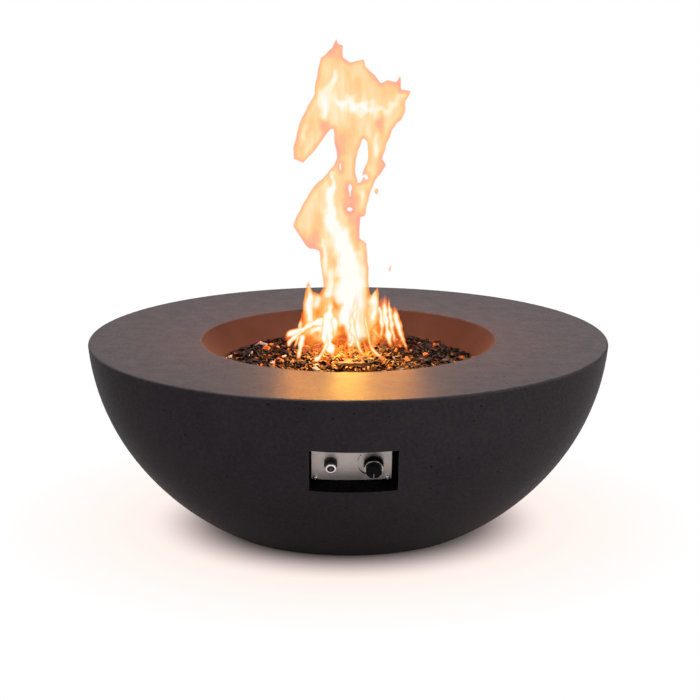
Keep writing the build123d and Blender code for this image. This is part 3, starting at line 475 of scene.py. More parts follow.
made, tree, shader = new_material("charcoal_concrete", 0.5, gloss=sealer_gloss)
clouds = use(tree, mottling, Scale=5.5, Sharpness=0.3)["Mask"]
specks = use(tree, mottling, Scale=160.0, Sharpness=0.75)["Mask"]
skin = use(tree, grain, Scale=520.0, Pits=1.0, Pit_Scale=75.0)
rubbed = use(tree, edge_wear, Radius=0.004, Amount=0.75, Scale=45.0)["Mask"]
settled = use(tree, dust, Amount=0.22, Scale=26.0)["Mask"]
paste = mixed(tree, clouds, colour(0.076, 0.063, 0.069), colour(0.1, 0.084, 0.09))
paste = mixed(tree, calc(tree, "MULTIPLY", specks, 0.22), paste, colour(0.17, 0.155, 0.155))
paste = mixed(tree, settled, paste, colour(0.2, 0.185, 0.18))
paste = mixed(tree, rubbed, paste, colour(0.24, 0.22, 0.215))
paste = mixed(tree, skin["Pit Mask"], paste, colour(0.035, 0.03, 0.03))
# Painted shade: the well's wall is darker and redder, standing in for the shade and firelight on it.
painted_well_shade = mixed(tree, clouds, colour(0.05, 0.031, 0.025), colour(0.076, 0.049, 0.042))
# Painted shade: the inside of the recess is nearly black, standing in for its deep shade.
painted_recess_shade = mixed(tree, specks, colour(0.005, 0.0045, 0.0055), colour(0.011, 0.01, 0.011))
paste = mixed(tree, well_shade_mask(tree), paste, painted_well_shade)
paste = mixed(tree, recess_shade_mask(tree), paste, painted_recess_shade)
rough = spread(tree, clouds, 0.0, 1.0, 0.42, 0.54)
wire(tree, shader, paste, rough, bumped(tree, skin["Height"], 0.22))
finishes["concrete"] = made
print("finish", made.name)

# %% [markdown]
# ## Metals
# Every metal part here has been worked: rolled sheet has lines along one way, turned and drawn
# parts have fine ones, castings have a skin of sand. Steel near the flame has taken on straw,
# bronze and blue. One recipe covers them all, with the numbers in a table. The value `bare`
# says how much bare metal shows: all of it on a screw, none on the guard, which is covered
# with brown scale, and about half on the plate, whose clear coat is dull.


# %% Metal recipe
def metal(name, tone, roughness, lines=0.0, heat=0.0, grit=0.1, worn=0.3, dusty=0.0, bare=1.0):
    """A worked metal: brushed lines, heat colours, a fine skin, bright edges and dust."""
    scale_gloss, bare_gloss = 0.04, 0.5
    gloss = scale_gloss + (bare_gloss - scale_gloss) * bare
    made, tree, shader = new_material(name, roughness, bare, gloss)
    cloud = use(tree, mottling, Scale=30.0, Sharpness=0.4)["Mask"]
    stroke = use(tree, brushed, Along=14.0, Across=1400.0)
    skin = use(tree, grain, Scale=900.0)["Height"]
    bright = use(tree, edge_wear, Radius=0.0007, Amount=worn, Scale=200.0)["Mask"]
    settled = use(tree, dust, Amount=dusty, Scale=60.0)["Mask"]
    darker = colour(*(0.82 * part for part in tone[:3]))
    lighter = colour(*(min(1.0, 1.15 * part + 0.05) for part in tone[:3]))
    body = mixed(tree, cloud, darker, tone)
    body = use(tree, heat_colours, Colour=body, Amount=heat)["Colour"]
    body = mixed(tree, bright, body, lighter)
    body = mixed(tree, settled, body, colour(0.16, 0.13, 0.11))
    rough = calc(tree, "MULTIPLY_ADD", stroke["Mask"], 0.12 * lines, roughness)
    rough = calc(tree, "MULTIPLY_ADD", cloud, 0.08, rough)
    rough = calc(tree, "ADD", rough, settled, clamp=True)
    height = calc(tree, "MULTIPLY", stroke["Height"], lines)
    height = calc(tree, "MULTIPLY_ADD", skin, grit, height)
    wire(tree, shader, body, rough, bumped(tree, height, 0.35, 0.0002))
    return made


metals = {
    "pan_steel": metal("pan_sheet", colour(0.42, 0.4, 0.38), 0.38, lines=0.5, heat=0.35, dusty=0.5),
    "burner_steel": metal("scaled_sheet", colour(0.3, 0.18, 0.08), 0.6,
                          lines=0.4, heat=0.2, dusty=0.3, bare=0.0),
    "panel_steel": metal("brushed_plate", colour(0.84, 0.745, 0.69), 0.36,
                         lines=1.0, grit=0.05, bare=0.45),
    "screw_steel": metal("bright_screw", colour(0.62, 0.6, 0.58), 0.22, lines=0.1),
    "probe_steel": metal("heated_probe", colour(0.35, 0.33, 0.31), 0.36, heat=0.8),
    "spring_steel": metal("spring_wire", colour(0.52, 0.51, 0.5), 0.3),
    "brass": metal("turned_brass", colour(0.72, 0.55, 0.28), 0.27, lines=0.2, dusty=0.15),
    "copper": metal("drawn_copper", colour(0.62, 0.33, 0.2), 0.33, dusty=0.2),
    "aluminium": metal("drawn_tube", colour(0.62, 0.62, 0.62), 0.36, lines=0.3),
    "valve_casting": metal("die_casting", colour(0.5, 0.5, 0.5), 0.46, grit=0.9, dusty=0.15),
    "chrome": metal("polished_chrome", colour(0.78, 0.78, 0.79), 0.1, grit=0.0, worn=0.1),
    # Painted reflection: the chrome ring nut is coloured near black, standing in for the dark recess
    # that it mirrors.
    "dark_nut": metal("nut_with_painted_dark_reflection", colour(0.03, 0.03, 0.031), 0.24, grit=0.05, worn=0.6),
}
finishes.update(metals)
print(len(metals), "metals")

# %% [markdown]
# ## Plastics, rubber and glaze
# The knob, button and sleeves are moulded. A moulded skin is never a flat colour: it has a
# fine grain, dust in its hollows and corners that have been rubbed a little greyer. The knob
# and the button are matt, so their `gloss` is low and they stay black under the white studio.


# %% Moulding recipe
def moulding(name, tone, roughness, texture=0.3, scale=700.0, worn=0.4, dusty=0.25, gloss=0.5):
    """A moulded or glazed part: two tones of its colour, grain, rubbed edges and dust."""
    made, tree, shader = new_material(name, roughness, gloss=gloss)
    cloud = use(tree, mottling, Scale=40.0, Sharpness=0.3)["Mask"]
    skin = use(tree, grain, Scale=scale)["Height"]
    bright = use(tree, edge_wear, Radius=0.0006, Amount=worn, Scale=150.0)["Mask"]
    settled = use(tree, dust, Amount=dusty, Scale=80.0)["Mask"]
    darker = colour(*(0.8 * part for part in tone[:3]))
    paler = colour(*(0.75 * part + 0.06 for part in tone[:3]))
    body = mixed(tree, cloud, darker, tone)
    body = mixed(tree, bright, body, paler)
    body = mixed(tree, settled, body, colour(0.19, 0.17, 0.16))
    rough = calc(tree, "MULTIPLY_ADD", cloud, 0.1, roughness)
    rough = calc(tree, "ADD", rough, settled, clamp=True)
    wire(tree, shader, body, rough, bumped(tree, skin, texture, 0.0002))
    return made


mouldings = {
    "rubber": moulding("foot_rubber", colour(0.03, 0.03, 0.03), 0.75, texture=0.5, scale=300.0),
    "ceramic_white": moulding("glazed_ceramic", colour(0.82, 0.8, 0.75), 0.2, texture=0.05, worn=0.0),
    "lead_black": moulding("silicone_sleeve", colour(0.02, 0.02, 0.02), 0.45, texture=0.1),
    "knob_black": moulding("knob_plastic", colour(0.003, 0.003, 0.0033), 0.34,
                           texture=0.18, worn=0.1, dusty=0.03, gloss=0.05),
    "pointer_white": moulding("pointer_inlay", colour(0.8, 0.8, 0.78), 0.4, texture=0.05),
    "button_black": moulding("button_plastic", colour(0.008, 0.008, 0.008), 0.22,
                             texture=0.05, worn=0.1, dusty=0.05, gloss=0.2),
    "dot_red": moulding("dot_enamel", colour(0.75, 0.03, 0.06), 0.25, texture=0.03, worn=0.0),
    "housing_black": moulding("housing_plastic", colour(0.02, 0.02, 0.02), 0.5, texture=0.4),
    "battery_can": moulding("battery_sleeve", colour(0.2, 0.22, 0.24), 0.3, texture=0.05),
}
finishes.update(mouldings)
print(len(mouldings), "mouldings")

# %% [markdown]
# ## Broken lava
# The burner is buried in angular chips of crushed lava, most of them nearly black and glassy
# where they broke, some rusty and a few grey. The construction has one fill and a layer of
# large stones. Here each chip is its own small solid, cut from a handful of random corners
# with a convex hull, which gives the flat facets and sharp edges of broken rock. Two numbers
# are written on the mesh for the finish: `chip_tint` picks a chip's colour from a table, and
# the other gives each facet its share of painted firelight, a warm glow painted on the facets
# near the fire that face it.

# %% Lava finish
chip_gloss = 0.055
painted_firelight_strength = 9.5

made, tree, shader = new_material("crushed_lava", 0.34, gloss=chip_gloss)
tint = add(tree, "Attribute", attribute_name="chip_tint").outputs["Fac"]
shades = add(tree, "ValToRGB", {0: tint})
shades.color_ramp.interpolation = "CONSTANT"
fill_ramp(shades, [
    (0.0, colour(0.005, 0.0035, 0.003)),
    (0.36, colour(0.009, 0.006, 0.005)),
    (0.6, colour(0.02, 0.011, 0.008)),
    (0.75, colour(0.05, 0.022, 0.013)),
    (0.85, colour(0.085, 0.075, 0.075)),
    (0.91, colour(0.44, 0.41, 0.42)),
    (0.938, colour(0.56, 0.19, 0.04)),
])
cloud = use(tree, mottling, Scale=260.0, Sharpness=0.5)["Mask"]
pores = use(tree, grain, Scale=650.0, Pits=0.6, Pit_Scale=420.0)
ashy = calc(tree, "MULTIPLY", cloud, 0.35)
body = mixed(tree, ashy, shades.outputs[0], colour(0.04, 0.025, 0.02))
body = mixed(tree, pores["Pit Mask"], body, colour(0.01, 0.008, 0.008))
rough = spread(tree, cloud, 0.0, 1.0, 0.16, 0.5)
wire(tree, shader, body, rough, bumped(tree, pores["Height"], 0.5, 0.0006))
# Painted firelight: facets that face the fire glow warm by emission, in patches, standing in for the
# flame's light on the stones.
painted_firelight_share = add(tree, "Attribute", attribute_name="chip_painted_firelight").outputs["Fac"]
patchy = calc(tree, "MULTIPLY", painted_firelight_share, spread(tree, pores["Height"], 0.25, 0.75, 0.3, 1.0))
painted_firelight_colour = mixed(tree, patchy, colour(0.0, 0.0, 0.0), colour(1.0, 0.34, 0.05))
fill(tree, shader.inputs["Emission Color"], painted_firelight_colour)
shader.inputs["Emission Strength"].default_value = painted_firelight_strength
finishes["lava"] = made
print("finish", made.name)

# %% Give each node its finish
# The ring nut takes the finish with a painted dark reflection.
own_finish = {"igniter_ring_nut": "dark_nut"}
for row in frame["record"]["subparts"]:
    mesh = nodes[row["node"]].data
    mesh.materials.clear()
    mesh.materials.append(finishes[own_finish.get(row["node"], row["material_slot"])])

# %% [markdown]
# ## Laying the chips
# The fill's top face says where they lie. Two layers are enough to hide it: a tight lower one,
# and a loose upper one with more tilt. The surface is slightly crowned. The two layers leave
# out the place of the flame guard, and three small heaps are then laid against the guard and
# over its top, so that only a strip of it shows, as it does once the stones are poured in.

# %% Chip shapes
chip_kinds = 36
golden_angle = pi * (3 - sqrt(5))
chip_dice = random.Random(11)


def chip_shape():
    """A broken chip about 1 across: the hull of a few random corners, flattened."""
    hull = bmesh.new()
    long, wide, thick = 0.5, chip_dice.uniform(0.28, 0.42), chip_dice.uniform(0.14, 0.27)
    for corner in range(chip_dice.randint(8, 11)):
        around = chip_dice.uniform(0, 2 * pi)
        up = chip_dice.uniform(-1, 1)
        level = sqrt(1 - up * up)
        hull.verts.new((long * level * cos(around), wide * level * sin(around), thick * up))
    bmesh.ops.convex_hull(hull, input=hull.verts)
    bmesh.ops.delete(hull, geom=[v for v in hull.verts if not v.link_faces], context="VERTS")
    hull.verts.index_update()
    points = [v.co.copy() for v in hull.verts]
    facets = [[v.index for v in face.verts] for face in hull.faces]
    hull.free()
    return points, facets


chip_shapes = [chip_shape() for kind in range(chip_kinds)]
print(chip_kinds, "chip shapes of about", len(chip_shapes[0][1]), "facets")

# %% The bed's surface
fill_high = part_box("lava_bed")[1]
guard_low, guard_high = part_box("igniter_guard")
fill_reach = fill_high.x
fill_top = fill_high.z
media_depth = 0.0065
crown_rise = 0.0085
bump_rise, bumps_per_metre = 0.0022, 14


def media_height(x, y):
    """The height of the chips' surface, crowned and a little uneven."""
    out = hypot(x, y) / fill_reach
    uneven = noise.noise(Vector((x * bumps_per_metre, y * bumps_per_metre, 0.3)))
    return fill_top + media_depth + crown_rise * (1 - out * out) + bump_rise * uneven


def near_guard(x, y, reach):
    """Whether a place is inside the guard's rectangle, or closer to it than reach."""
    inside_x = guard_low.x - reach < x < guard_high.x + reach
    return inside_x and guard_low.y - reach < y < guard_high.y + reach


print("chips lie up to", round(1000 * media_height(0, 0)), "mm over the floor")

# %% Lay one chip
fire_middle = Vector((0, 0, fill_top + 0.12))
painted_firelight_reach_x, painted_firelight_reach_y = 0.115, 0.1725
painted_firelight_forward = 0.08
painted_firelight_least = 0.1
painted_firelight_spread = 1.3
painted_firelight_facing = 2

chip_points, chip_facets, chip_tints, chip_painted_lights = [], [], [], []


def lay_chip(x, y, size, sink, tilt):
    """One chip, turned and tilted, with its middle below the media's surface."""
    points, facets = chip_dice.choice(chip_shapes)
    squeeze = Matrix.Diagonal((1, chip_dice.uniform(0.75, 1.15), chip_dice.uniform(0.8, 1.3)))
    turn = Matrix.Rotation(chip_dice.uniform(0, 2 * pi), 3, "Z")
    lean = Matrix.Rotation(chip_dice.gauss(0, tilt), 3, "X")
    roll = Matrix.Rotation(chip_dice.gauss(0, tilt), 3, "Y")
    place = turn @ (lean @ roll) @ squeeze * size
    middle = Vector((x, y, media_height(x, y) - sink))
    first = len(chip_points)
    corners = [middle + place @ point for point in points]
    chip_points.extend(corners)
    chip_tints.extend([chip_dice.random()] * len(points))
    # The facet's share of painted firelight: more near the fire, at random per chip, and on facets that
    # face the fire.
    near_fire = exp(-((x / painted_firelight_reach_x) ** 2) - ((y + painted_firelight_forward) / painted_firelight_reach_y) ** 2)
    glow = max(0.0, near_fire - painted_firelight_least) * chip_dice.uniform(0.0, 1.0) ** painted_firelight_spread
    to_fire = (fire_middle - middle).normalized()
    for facet in facets:
        chip_facets.append([first + corner for corner in facet])
        a, b, c = (corners[corner] for corner in facet[:3])
        out = (b - a).cross(c - a).normalized()
        if out.dot(a - middle) < 0:
            out.negate()
        chip_painted_lights.append(glow * max(0.0, out.dot(to_fire)) ** painted_firelight_facing)


print("chips glow within about", painted_firelight_reach_y, "m of the fire")

# %% Lay them all
guard_clearance = 0.006
wall_overlap = 0.004
aside, turned = 0.003, 0.03


def lay_layer(count, sizes, sinks, tilt):
    """Chips spread evenly by the golden angle, each pushed aside a little at random."""
    laid = 0
    for index in range(count):
        size = chip_dice.triangular(*sizes)
        reach = fill_reach + wall_overlap - 0.3 * size
        out = reach * sqrt((index + 0.5) / count)
        around = index * golden_angle + chip_dice.uniform(-turned, turned)
        x = out * cos(around) + chip_dice.uniform(-aside, aside)
        y = out * sin(around) + chip_dice.uniform(-aside, aside)
        if not near_guard(x, y, guard_clearance + 0.2 * size):
            lay_chip(x, y, size, chip_dice.uniform(*sinks), tilt)
            laid += 1
    return laid


def lay_at_guard(count, low, high, sizes, tilt):
    """Chips heaped at the flame guard, between two corners given in metres."""
    for index in range(count):
        size = chip_dice.triangular(*sizes)
        x, y, z = (chip_dice.uniform(a, b) for a, b in zip(low, high))
        lay_chip(x, y, size, media_height(x, y) - z, tilt)
    return count


left, right, front, top = guard_low.x, guard_high.x, guard_low.y, guard_high.z
laid = lay_layer(1500, (0.012, 0.024, 0.017), (0.004, 0.009), 0.25)
laid += lay_layer(1150, (0.009, 0.026, 0.015), (-0.001, 0.004), 0.42)
# In front of the guard, then over its right end, then on the back of its top.
laid += lay_at_guard(56, (left - 0.012, front - 0.016, fill_top + 0.004),
                     (right + 0.01, front - 0.006, top - 0.003), (0.01, 0.021, 0.014), 0.4)
laid += lay_at_guard(36, (right - 0.026, front - 0.006, top - 0.001),
                     (right + 0.008, front + 0.026, top + 0.004), (0.01, 0.022, 0.015), 0.3)
laid += lay_at_guard(30, (left - 0.004, front + 0.016, top - 0.001),
                     (right - 0.02, front + 0.036, top + 0.002), (0.007, 0.014, 0.009), 0.4)
print(laid, "chips laid")

# %% Chip mesh
lava_chips = shaped("lava_chips", chip_points, chip_facets, finishes["lava"])
tints = lava_chips.data.attributes.new("chip_tint", "FLOAT", "POINT")
tints.data.foreach_set("value", chip_tints)
painted_firelight_layer = lava_chips.data.attributes.new("chip_painted_firelight", "FLOAT", "FACE")
painted_firelight_layer.data.foreach_set("value", chip_painted_lights)
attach(lava_chips, "root")
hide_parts("lava_stones")
print("chips with", len(chip_facets), "facets")

# %% [markdown]
# ## The controls
# The knob and the igniter stand square to the control plate, which leans back a little. Three
# directions describe it: along its width, up its slope and out of its face. Everything below
# that belongs to the controls is placed from the knob's axis with these three.

# %% Places on the plate
plate_right = Vector((1, 0, 0))
plate_middle = Vector((0, -0.460577, 0.252083))
knob_aside, igniter_aside, controls_drop = 0.0379, 0.0433, 0.0024
knob_place = plate_middle + knob_aside * plate_right - controls_drop * plate_up
igniter_place = knob_place - (knob_aside + igniter_aside) * plate_right
ink_height = 0.0001


def on_plate(right, up):
    """A point of ink on the plate, measured from the knob's axis."""
    return knob_place + right * plate_right + up * plate_up + ink_height * plate_out


print("knob axis meets the plate at", [round(v, 4) for v in knob_place])

# %% [markdown]
# ## Springs
# Pushing the knob or the button closes a coil spring behind it. Each spring is wound again here
# as a coil that rides on a moving part, in place of the construction's spring.

# %% Springs
coil_corners = 8
steps_per_turn = 28


def lay_spring(name, middle, radius, wire, span, turns, body, node):
    """A coil over the plate between the two heights of span."""
    low, high = span
    coil = bmesh.new()
    rings = []
    for step in range(steps_per_turn * turns + 1):
        share = step / (steps_per_turn * turns)
        angle = 2 * pi * turns * share
        outward = cos(angle) * plate_right + sin(angle) * plate_up
        height = low + wire + share * (high - low - 2 * wire)
        centre = middle + radius * outward + height * plate_out
        ring = []
        for corner in range(coil_corners):
            around = 2 * pi * corner / coil_corners
            skin = wire * (cos(around) * outward + sin(around) * plate_out)
            ring.append(coil.verts.new(centre + skin))
        rings.append(ring)
    for before, after in zip(rings, rings[1:]):
        for corner in range(coil_corners):
            beside = (corner + 1) % coil_corners
            coil.faces.new((before[corner], before[beside], after[beside], after[corner]))
    coil.faces.new(rings[0])
    coil.faces.new(rings[-1])
    bmesh.ops.recalc_face_normals(coil, faces=coil.faces)
    mesh = bpy.data.meshes.new(name)
    coil.to_mesh(mesh)
    coil.free()
    mesh.materials.append(finishes["spring_steel"])
    spring = placed(name, mesh)
    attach(spring, body)
    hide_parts(node)
    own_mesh(spring)


# Name, axis, coil radius, wire radius, heights, turns, then what it rides on and the construction's
# spring that it hides.
lay_spring("knob_coil", knob_place, 0.0102, 0.0006, (0.003, 0.0265), 4,
           "valve_rotor", "knob_spring")
lay_spring("button_coil", igniter_place, 0.0034, 0.0004, (0.0134, 0.0188), 3,
           "igniter_cap", "button_spring")
print("two springs wound")

# %% [markdown]
# ## The igniter's cap
# Only the ring at the front of the cap shows bright. The lip round its button and the barrel
# behind the ring are painted nearly black: painted shade in the gap round the button, and a
# painted dark reflection on the barrel, which mirrors the dark recess. The cap is one piece,
# so its chrome is copied and painted dark by how far a place lies from the cap's axis and how
# high over the plate.

# %% Cap with a painted dark lip and barrel
lip_radius, lip_edge = 0.0074, 0.0002
ring_height, ring_edge = 0.0178, 0.0006
cap_finish = finishes["chrome"].copy()
cap_finish.name = "cap_chrome"
tree = cap_finish.node_tree
shader = next(node for node in tree.nodes if node.type == "BSDF_PRINCIPLED")
bright_body = shader.inputs["Base Color"].links[0].from_socket
reach = vector(tree, "SUBTRACT", here(tree), igniter_place)
off_axis = vector(tree, "LENGTH", vector(tree, "CROSS_PRODUCT", reach, plate_out))
height = vector(tree, "DOT_PRODUCT", reach, plate_out)
inside = spread(tree, off_axis, lip_radius + lip_edge, lip_radius)
behind = spread(tree, height, ring_height, ring_height - ring_edge)
# Painted shade on the lip and a painted dark reflection on the barrel.
painted_dark = calc(tree, "MAXIMUM", inside, behind)
body = mixed(tree, painted_dark, bright_body, colour(0.06, 0.058, 0.058))
fill(tree, shader.inputs["Base Color"], body)
nodes["igniter_cap"].data.materials[0] = cap_finish
print("cap finish", cap_finish.name)

# %% [markdown]
# ## Marks on the control plate
# The plate carries a printed arc that swells towards the high setting, and three dots. Ink
# has no thickness that the eye can see, so each mark is a thin strip of mesh a tenth of a
# millimetre proud of the steel. The rest of the plate is bare brushed steel.

# %% Ink
made, tree, shader = new_material("printed_ink", 0.45)
cloud = use(tree, mottling, Scale=300.0, Sharpness=0.5)["Mask"]
skin = use(tree, grain, Scale=1500.0)["Height"]
body = mixed(tree, cloud, colour(0.02, 0.019, 0.019), colour(0.045, 0.042, 0.04))
rough = spread(tree, cloud, 0.0, 1.0, 0.38, 0.55)
wire(tree, shader, body, rough, bumped(tree, skin, 0.1, 0.0001))
finishes["ink"] = made
print("finish", made.name)

# %% Arc and dots
mark_points, mark_faces = [], []


def mark_dot(angle, radius, size, corners=20):
    """A round dot of ink at an angle round the knob."""
    first = len(mark_points)
    right, up = radius * cos(angle), radius * sin(angle)
    for corner in range(corners):
        turn = 2 * pi * corner / corners
        mark_points.append(on_plate(right + size * cos(turn), up + size * sin(turn)))
    mark_faces.append(tuple(range(first, first + corners)))


arc_from, arc_to, arc_steps = radians(200), radians(243), 32
arc_inside, arc_outside = 0.0308, 0.0312
swell_in, swell_out = 0.0004, 0.0032
dot_reach, dot_size = 0.0298, 0.0014

for step in range(arc_steps + 1):
    share = step / arc_steps
    angle = arc_from + share * (arc_to - arc_from)
    edges = (arc_inside - swell_in * share, arc_outside + swell_out * share)
    mark_points += [on_plate(edge * cos(angle), edge * sin(angle)) for edge in edges]
mark_faces += [(a, a + 1, a + 3, a + 2) for a in range(0, 2 * arc_steps, 2)]
for degrees_round in (146, 156, 166):
    mark_dot(radians(degrees_round), dot_reach, dot_size)

plate_marks = shaped("plate_marks", mark_points, mark_faces, finishes["ink"])
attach(plate_marks, "root")
print("marks:", len(mark_faces), "faces")

# %% [markdown]
# ## The flame
# A flame is not a piece of the product, so it is part of the stage, like the floor. A true
# volume would be slow and grainy. Here it is two kinds of thin glowing sheets, as real flame
# fronts are. Two tall curtains cross each other at the middle, cut to a torn outline, and
# ribbons lick up between the stones. Every point knows how deep it lies inside its sheet's
# edge, so one material can turn each edge thin and orange and each middle thick and white.
# All places here are in millimetres: x to the right and z up from the floor. The dice and the
# noise both get a seed, or the flame would come out differently each time.

# %% Flame store
flame_points, flame_faces = [], []
flame_marks = {"flow": [], "depth": [], "warmth": [], "fade": [], "block": []}
flame_seed = 5
flame_dice = random.Random(flame_seed)
noise.seed_set(flame_seed)


def flame_point(place, *marks):
    """One point of the flame, in millimetres, with what the material needs to know of it."""
    flame_points.append(Vector(place) * 0.001)
    for store, value in zip(flame_marks.values(), marks):
        store.append(value)


print("flame store ready")

# %% Curtain outline
curtain_edge = [
    (-93, 352), (-96, 407), (-93, 443), (-91, 482), (-86, 504), (-80, 512), (-76, 500), (-71, 486),
    (-60, 482), (-52, 496), (-52, 515), (-57, 552), (-60, 570), (-78, 574), (-89, 587), (-114, 622),
    (-108, 643), (-83, 685), (-71, 703), (-42, 729), (-23, 761), (-27, 790), (-30, 822), (-37, 820),
    (-59, 787), (-71, 773), (-89, 751), (-112, 761), (-112, 784), (-100, 831), (-88, 858),
    (-68, 892), (-65, 927), (-56, 966), (-33, 984), (-24, 1006), (-19, 993), (-10, 990), (-11, 967),
    (7, 955), (32, 963), (35, 947), (56, 929), (65, 915), (79, 921), (97, 915), (108, 932),
    (106, 901), (127, 900), (116, 877), (114, 857), (107, 839), (89, 819), (77, 787), (71, 761),
    (79, 746), (57, 716), (42, 681), (35, 643), (25, 641), (24, 598), (37, 589), (40, 563),
    (43, 539), (42, 505), (46, 478), (56, 488), (60, 496), (63, 478), (60, 452), (66, 440),
    (60, 420), (50, 404), (46, 380), (44, 352),
]
curtain_holes = [
    [(31, 802), (39, 793), (39, 752), (32, 740), (25, 714), (19, 711), (15, 740), (20, 778)],
    [(32, 725), (38, 727), (42, 720), (37, 717)],
    [(-19, 746), (-16, 750), (-15, 735)],
    [(2, 708), (6, 702), (2, 682)],
    [(-5, 659), (4, 660), (9, 655), (2, 652)],
]
stray_wisps = [
    [(80, 527), (84, 541), (88, 545), (88, 522)],
    [(51, 694), (57, 699), (62, 700), (63, 690), (57, 684)],
]


def off_line(x, z, ax, az, bx, bz):
    """How far a point lies from a line between two others, and how far along the line."""
    long = (bx - ax) ** 2 + (bz - az) ** 2
    along = max(0.0, min(1.0, ((x - ax) * (bx - ax) + (z - az) * (bz - az)) / long))
    return hypot(x - ax - along * (bx - ax), z - az - along * (bz - az)), along


def edge_depth(x, z, loops):
    """How deep a point lies inside the loops, in millimetres, or less than zero outside them."""
    inside, nearest = False, 1e9
    for loop in loops:
        for (ax, az), (bx, bz) in zip(loop, loop[1:] + loop[:1]):
            if (az > z) != (bz > z) and x < ax + (bx - ax) * (z - az) / (bz - az):
                inside = not inside
            nearest = min(nearest, off_line(x, z, ax, az, bx, bz)[0])
    return nearest if inside else -nearest


print("curtain outline of", len(curtain_edge), "corners")

# %% [markdown]
# ## Where the flame is hot
# An outline alone gives a flat patch of orange. Inside it, a few lines are as hot as the bright
# strokes in the picture and cool off to both sides, and round spots take heat away.

# %% Hot and cool places
# Each hot line: how hot, then its points as x, z and how wide it is there.
hot_lines = [
    (1.25, [(0, 352, 20), (6, 400, 26), (6, 440, 30), (2, 480, 36), (2, 530, 32), (4, 560, 26),
            (-14, 592, 24), (-33, 625, 15)]),
    (1.1, [(-33, 625, 15), (-36, 650, 12), (-34, 692, 9), (-30, 730, 4)]),
    (0.85, [(-38, 480, 9), (-42, 540, 8), (-52, 600, 6)]),
    (0.9, [(-24, 935, 8), (-44, 890, 18), (-52, 850, 13)]),
    (0.9, [(-20, 880, 16), (14, 866, 18), (58, 860, 14)]),
    (0.7, [(74, 852, 10), (106, 886, 9)]),
    (0.8, [(58, 812, 9), (57, 770, 8)]),
    (0.65, [(-84, 828, 9), (-94, 800, 9)]),
    (0.6, [(28, 690, 11), (36, 664, 10)]),
    (0.95, [(-78, 492, 6), (-79, 424, 8)]),
    (0.7, [(-64, 478, 14), (-64, 466, 14)]),
    (1.1, [(-74, 402, 8), (-58, 414, 9), (-36, 406, 9)]),
    (1.0, [(50, 480, 8), (52, 430, 9)]),
]
# Each cool spot: x, z, how far it reaches and how much heat it takes.
cool_spots = [
    (-45, 832, 9, 0.8), (-75, 830, 10, 0.3), (-98, 777, 10, 0.3), (12, 834, 13, 0.3),
    (65, 829, 7, 0.7), (65, 812, 12, 0.4), (-6, 806, 16, 0.5), (-20, 772, 12, 0.5),
    (2, 672, 17, 0.8), (14, 630, 16, 0.5), (-72, 586, 16, 0.7), (-58, 636, 11, 0.3),
    (20, 902, 14, 0.25), (80, 890, 12, 0.25), (-26, 985, 22, 0.7), (70, 742, 14, 0.6),
    (-27, 548, 8, 0.6), (-29, 508, 7, 0.5), (17, 575, 9, 0.55), (-58, 438, 13, 0.6),
    (-60, 396, 6, 0.5), (-25, 455, 8, 0.9), (-11, 408, 9, 1.4), (-13, 384, 9, 1.2),
    (100, 910, 14, 0.5), (55, 925, 12, 0.4),
]
base_heat = 0.34
spot_stretch = 0.6


def heat_at(x, z):
    """How hot the curtain is at a point: what the hot lines give it, less what cool spots take."""
    hottest = base_heat
    for strength, line in hot_lines:
        for (ax, az, a_wide), (bx, bz, b_wide) in zip(line, line[1:]):
            away, along = off_line(x, z, ax, az, bx, bz)
            wide = a_wide + along * (b_wide - a_wide)
            hottest = max(hottest, strength * exp(-((away / wide) ** 2)))
    for cool_x, cool_z, reach, strength in cool_spots:
        away = (x - cool_x) ** 2 + (spot_stretch * (z - cool_z)) ** 2
        hottest -= strength * exp(-away / reach ** 2)
    return hottest


print(len(hot_lines), "hot lines,", len(cool_spots), "cool spots")


# %% Faces of a sheet
def sheet_faces(first, rows, columns, kept=None):
    """Faces between rows of points, left out where none of a face's corners is kept."""
    for row in range(rows - 1):
        for column in range(columns - 1):
            a = row * columns + column
            corners = (a, a + 1, a + 1 + columns, a + columns)
            if kept is None or any(kept[corner] for corner in corners):
                flame_faces.append(tuple(first + corner for corner in corners))


print("sheet helper ready")

# %% Curtains
curtain_step = 4.0
curtain_margin = 6
curtain_block = 0.72
curtain_foot = (356.0, 392.0)
stir_scale, wave_scale = (0.06, 0.05), (0.012, 0.008)
edge_stir, foot_stir, heat_stir = 2.5, 14, (9, 16)


def flame_curtain(loops, turn=0.0, squeeze=1.0, shift=0.0, bow=12.0):
    """A sheet cut to an outline of (x, z) corners, in millimetres, and turned about the axis."""
    seed = flame_dice.uniform(0, 50)
    all_x, all_z = zip(*loops[0])
    low_x, high_x = min(all_x) - curtain_margin, max(all_x) + curtain_margin
    low_z, high_z = min(all_z), max(all_z) + curtain_margin
    columns = int((high_x - low_x) / curtain_step) + 2
    rows = int((high_z - low_z) / curtain_step) + 2
    first, kept = len(flame_points), []
    for row in range(rows):
        for column in range(columns):
            x, z = low_x + column * curtain_step, low_z + row * curtain_step
            stir = noise.noise_vector(Vector((x * stir_scale[0], z * stir_scale[1], seed)))
            depth = edge_depth(x + edge_stir * stir.x, z + edge_stir * stir.y, loops)
            wave = bow * noise.noise(Vector((x * wave_scale[0], z * wave_scale[1], seed + 7)))
            across = x * squeeze + shift
            place = (across * cos(turn) - wave * sin(turn), across * sin(turn) + wave * cos(turn), z)
            flow = (x * 0.001 + seed, z * 0.001, seed)
            low, high = curtain_foot
            fade = max(0.0, min(1.0, (z + foot_stir * stir.x - low) / (high - low)))
            heat = heat_at(x + heat_stir[0] * stir.x, z + heat_stir[1] * stir.z)
            flame_point(place, flow, depth, heat, fade, curtain_block)
            kept.append(depth > -curtain_step)
    sheet_faces(first, rows, columns, kept)


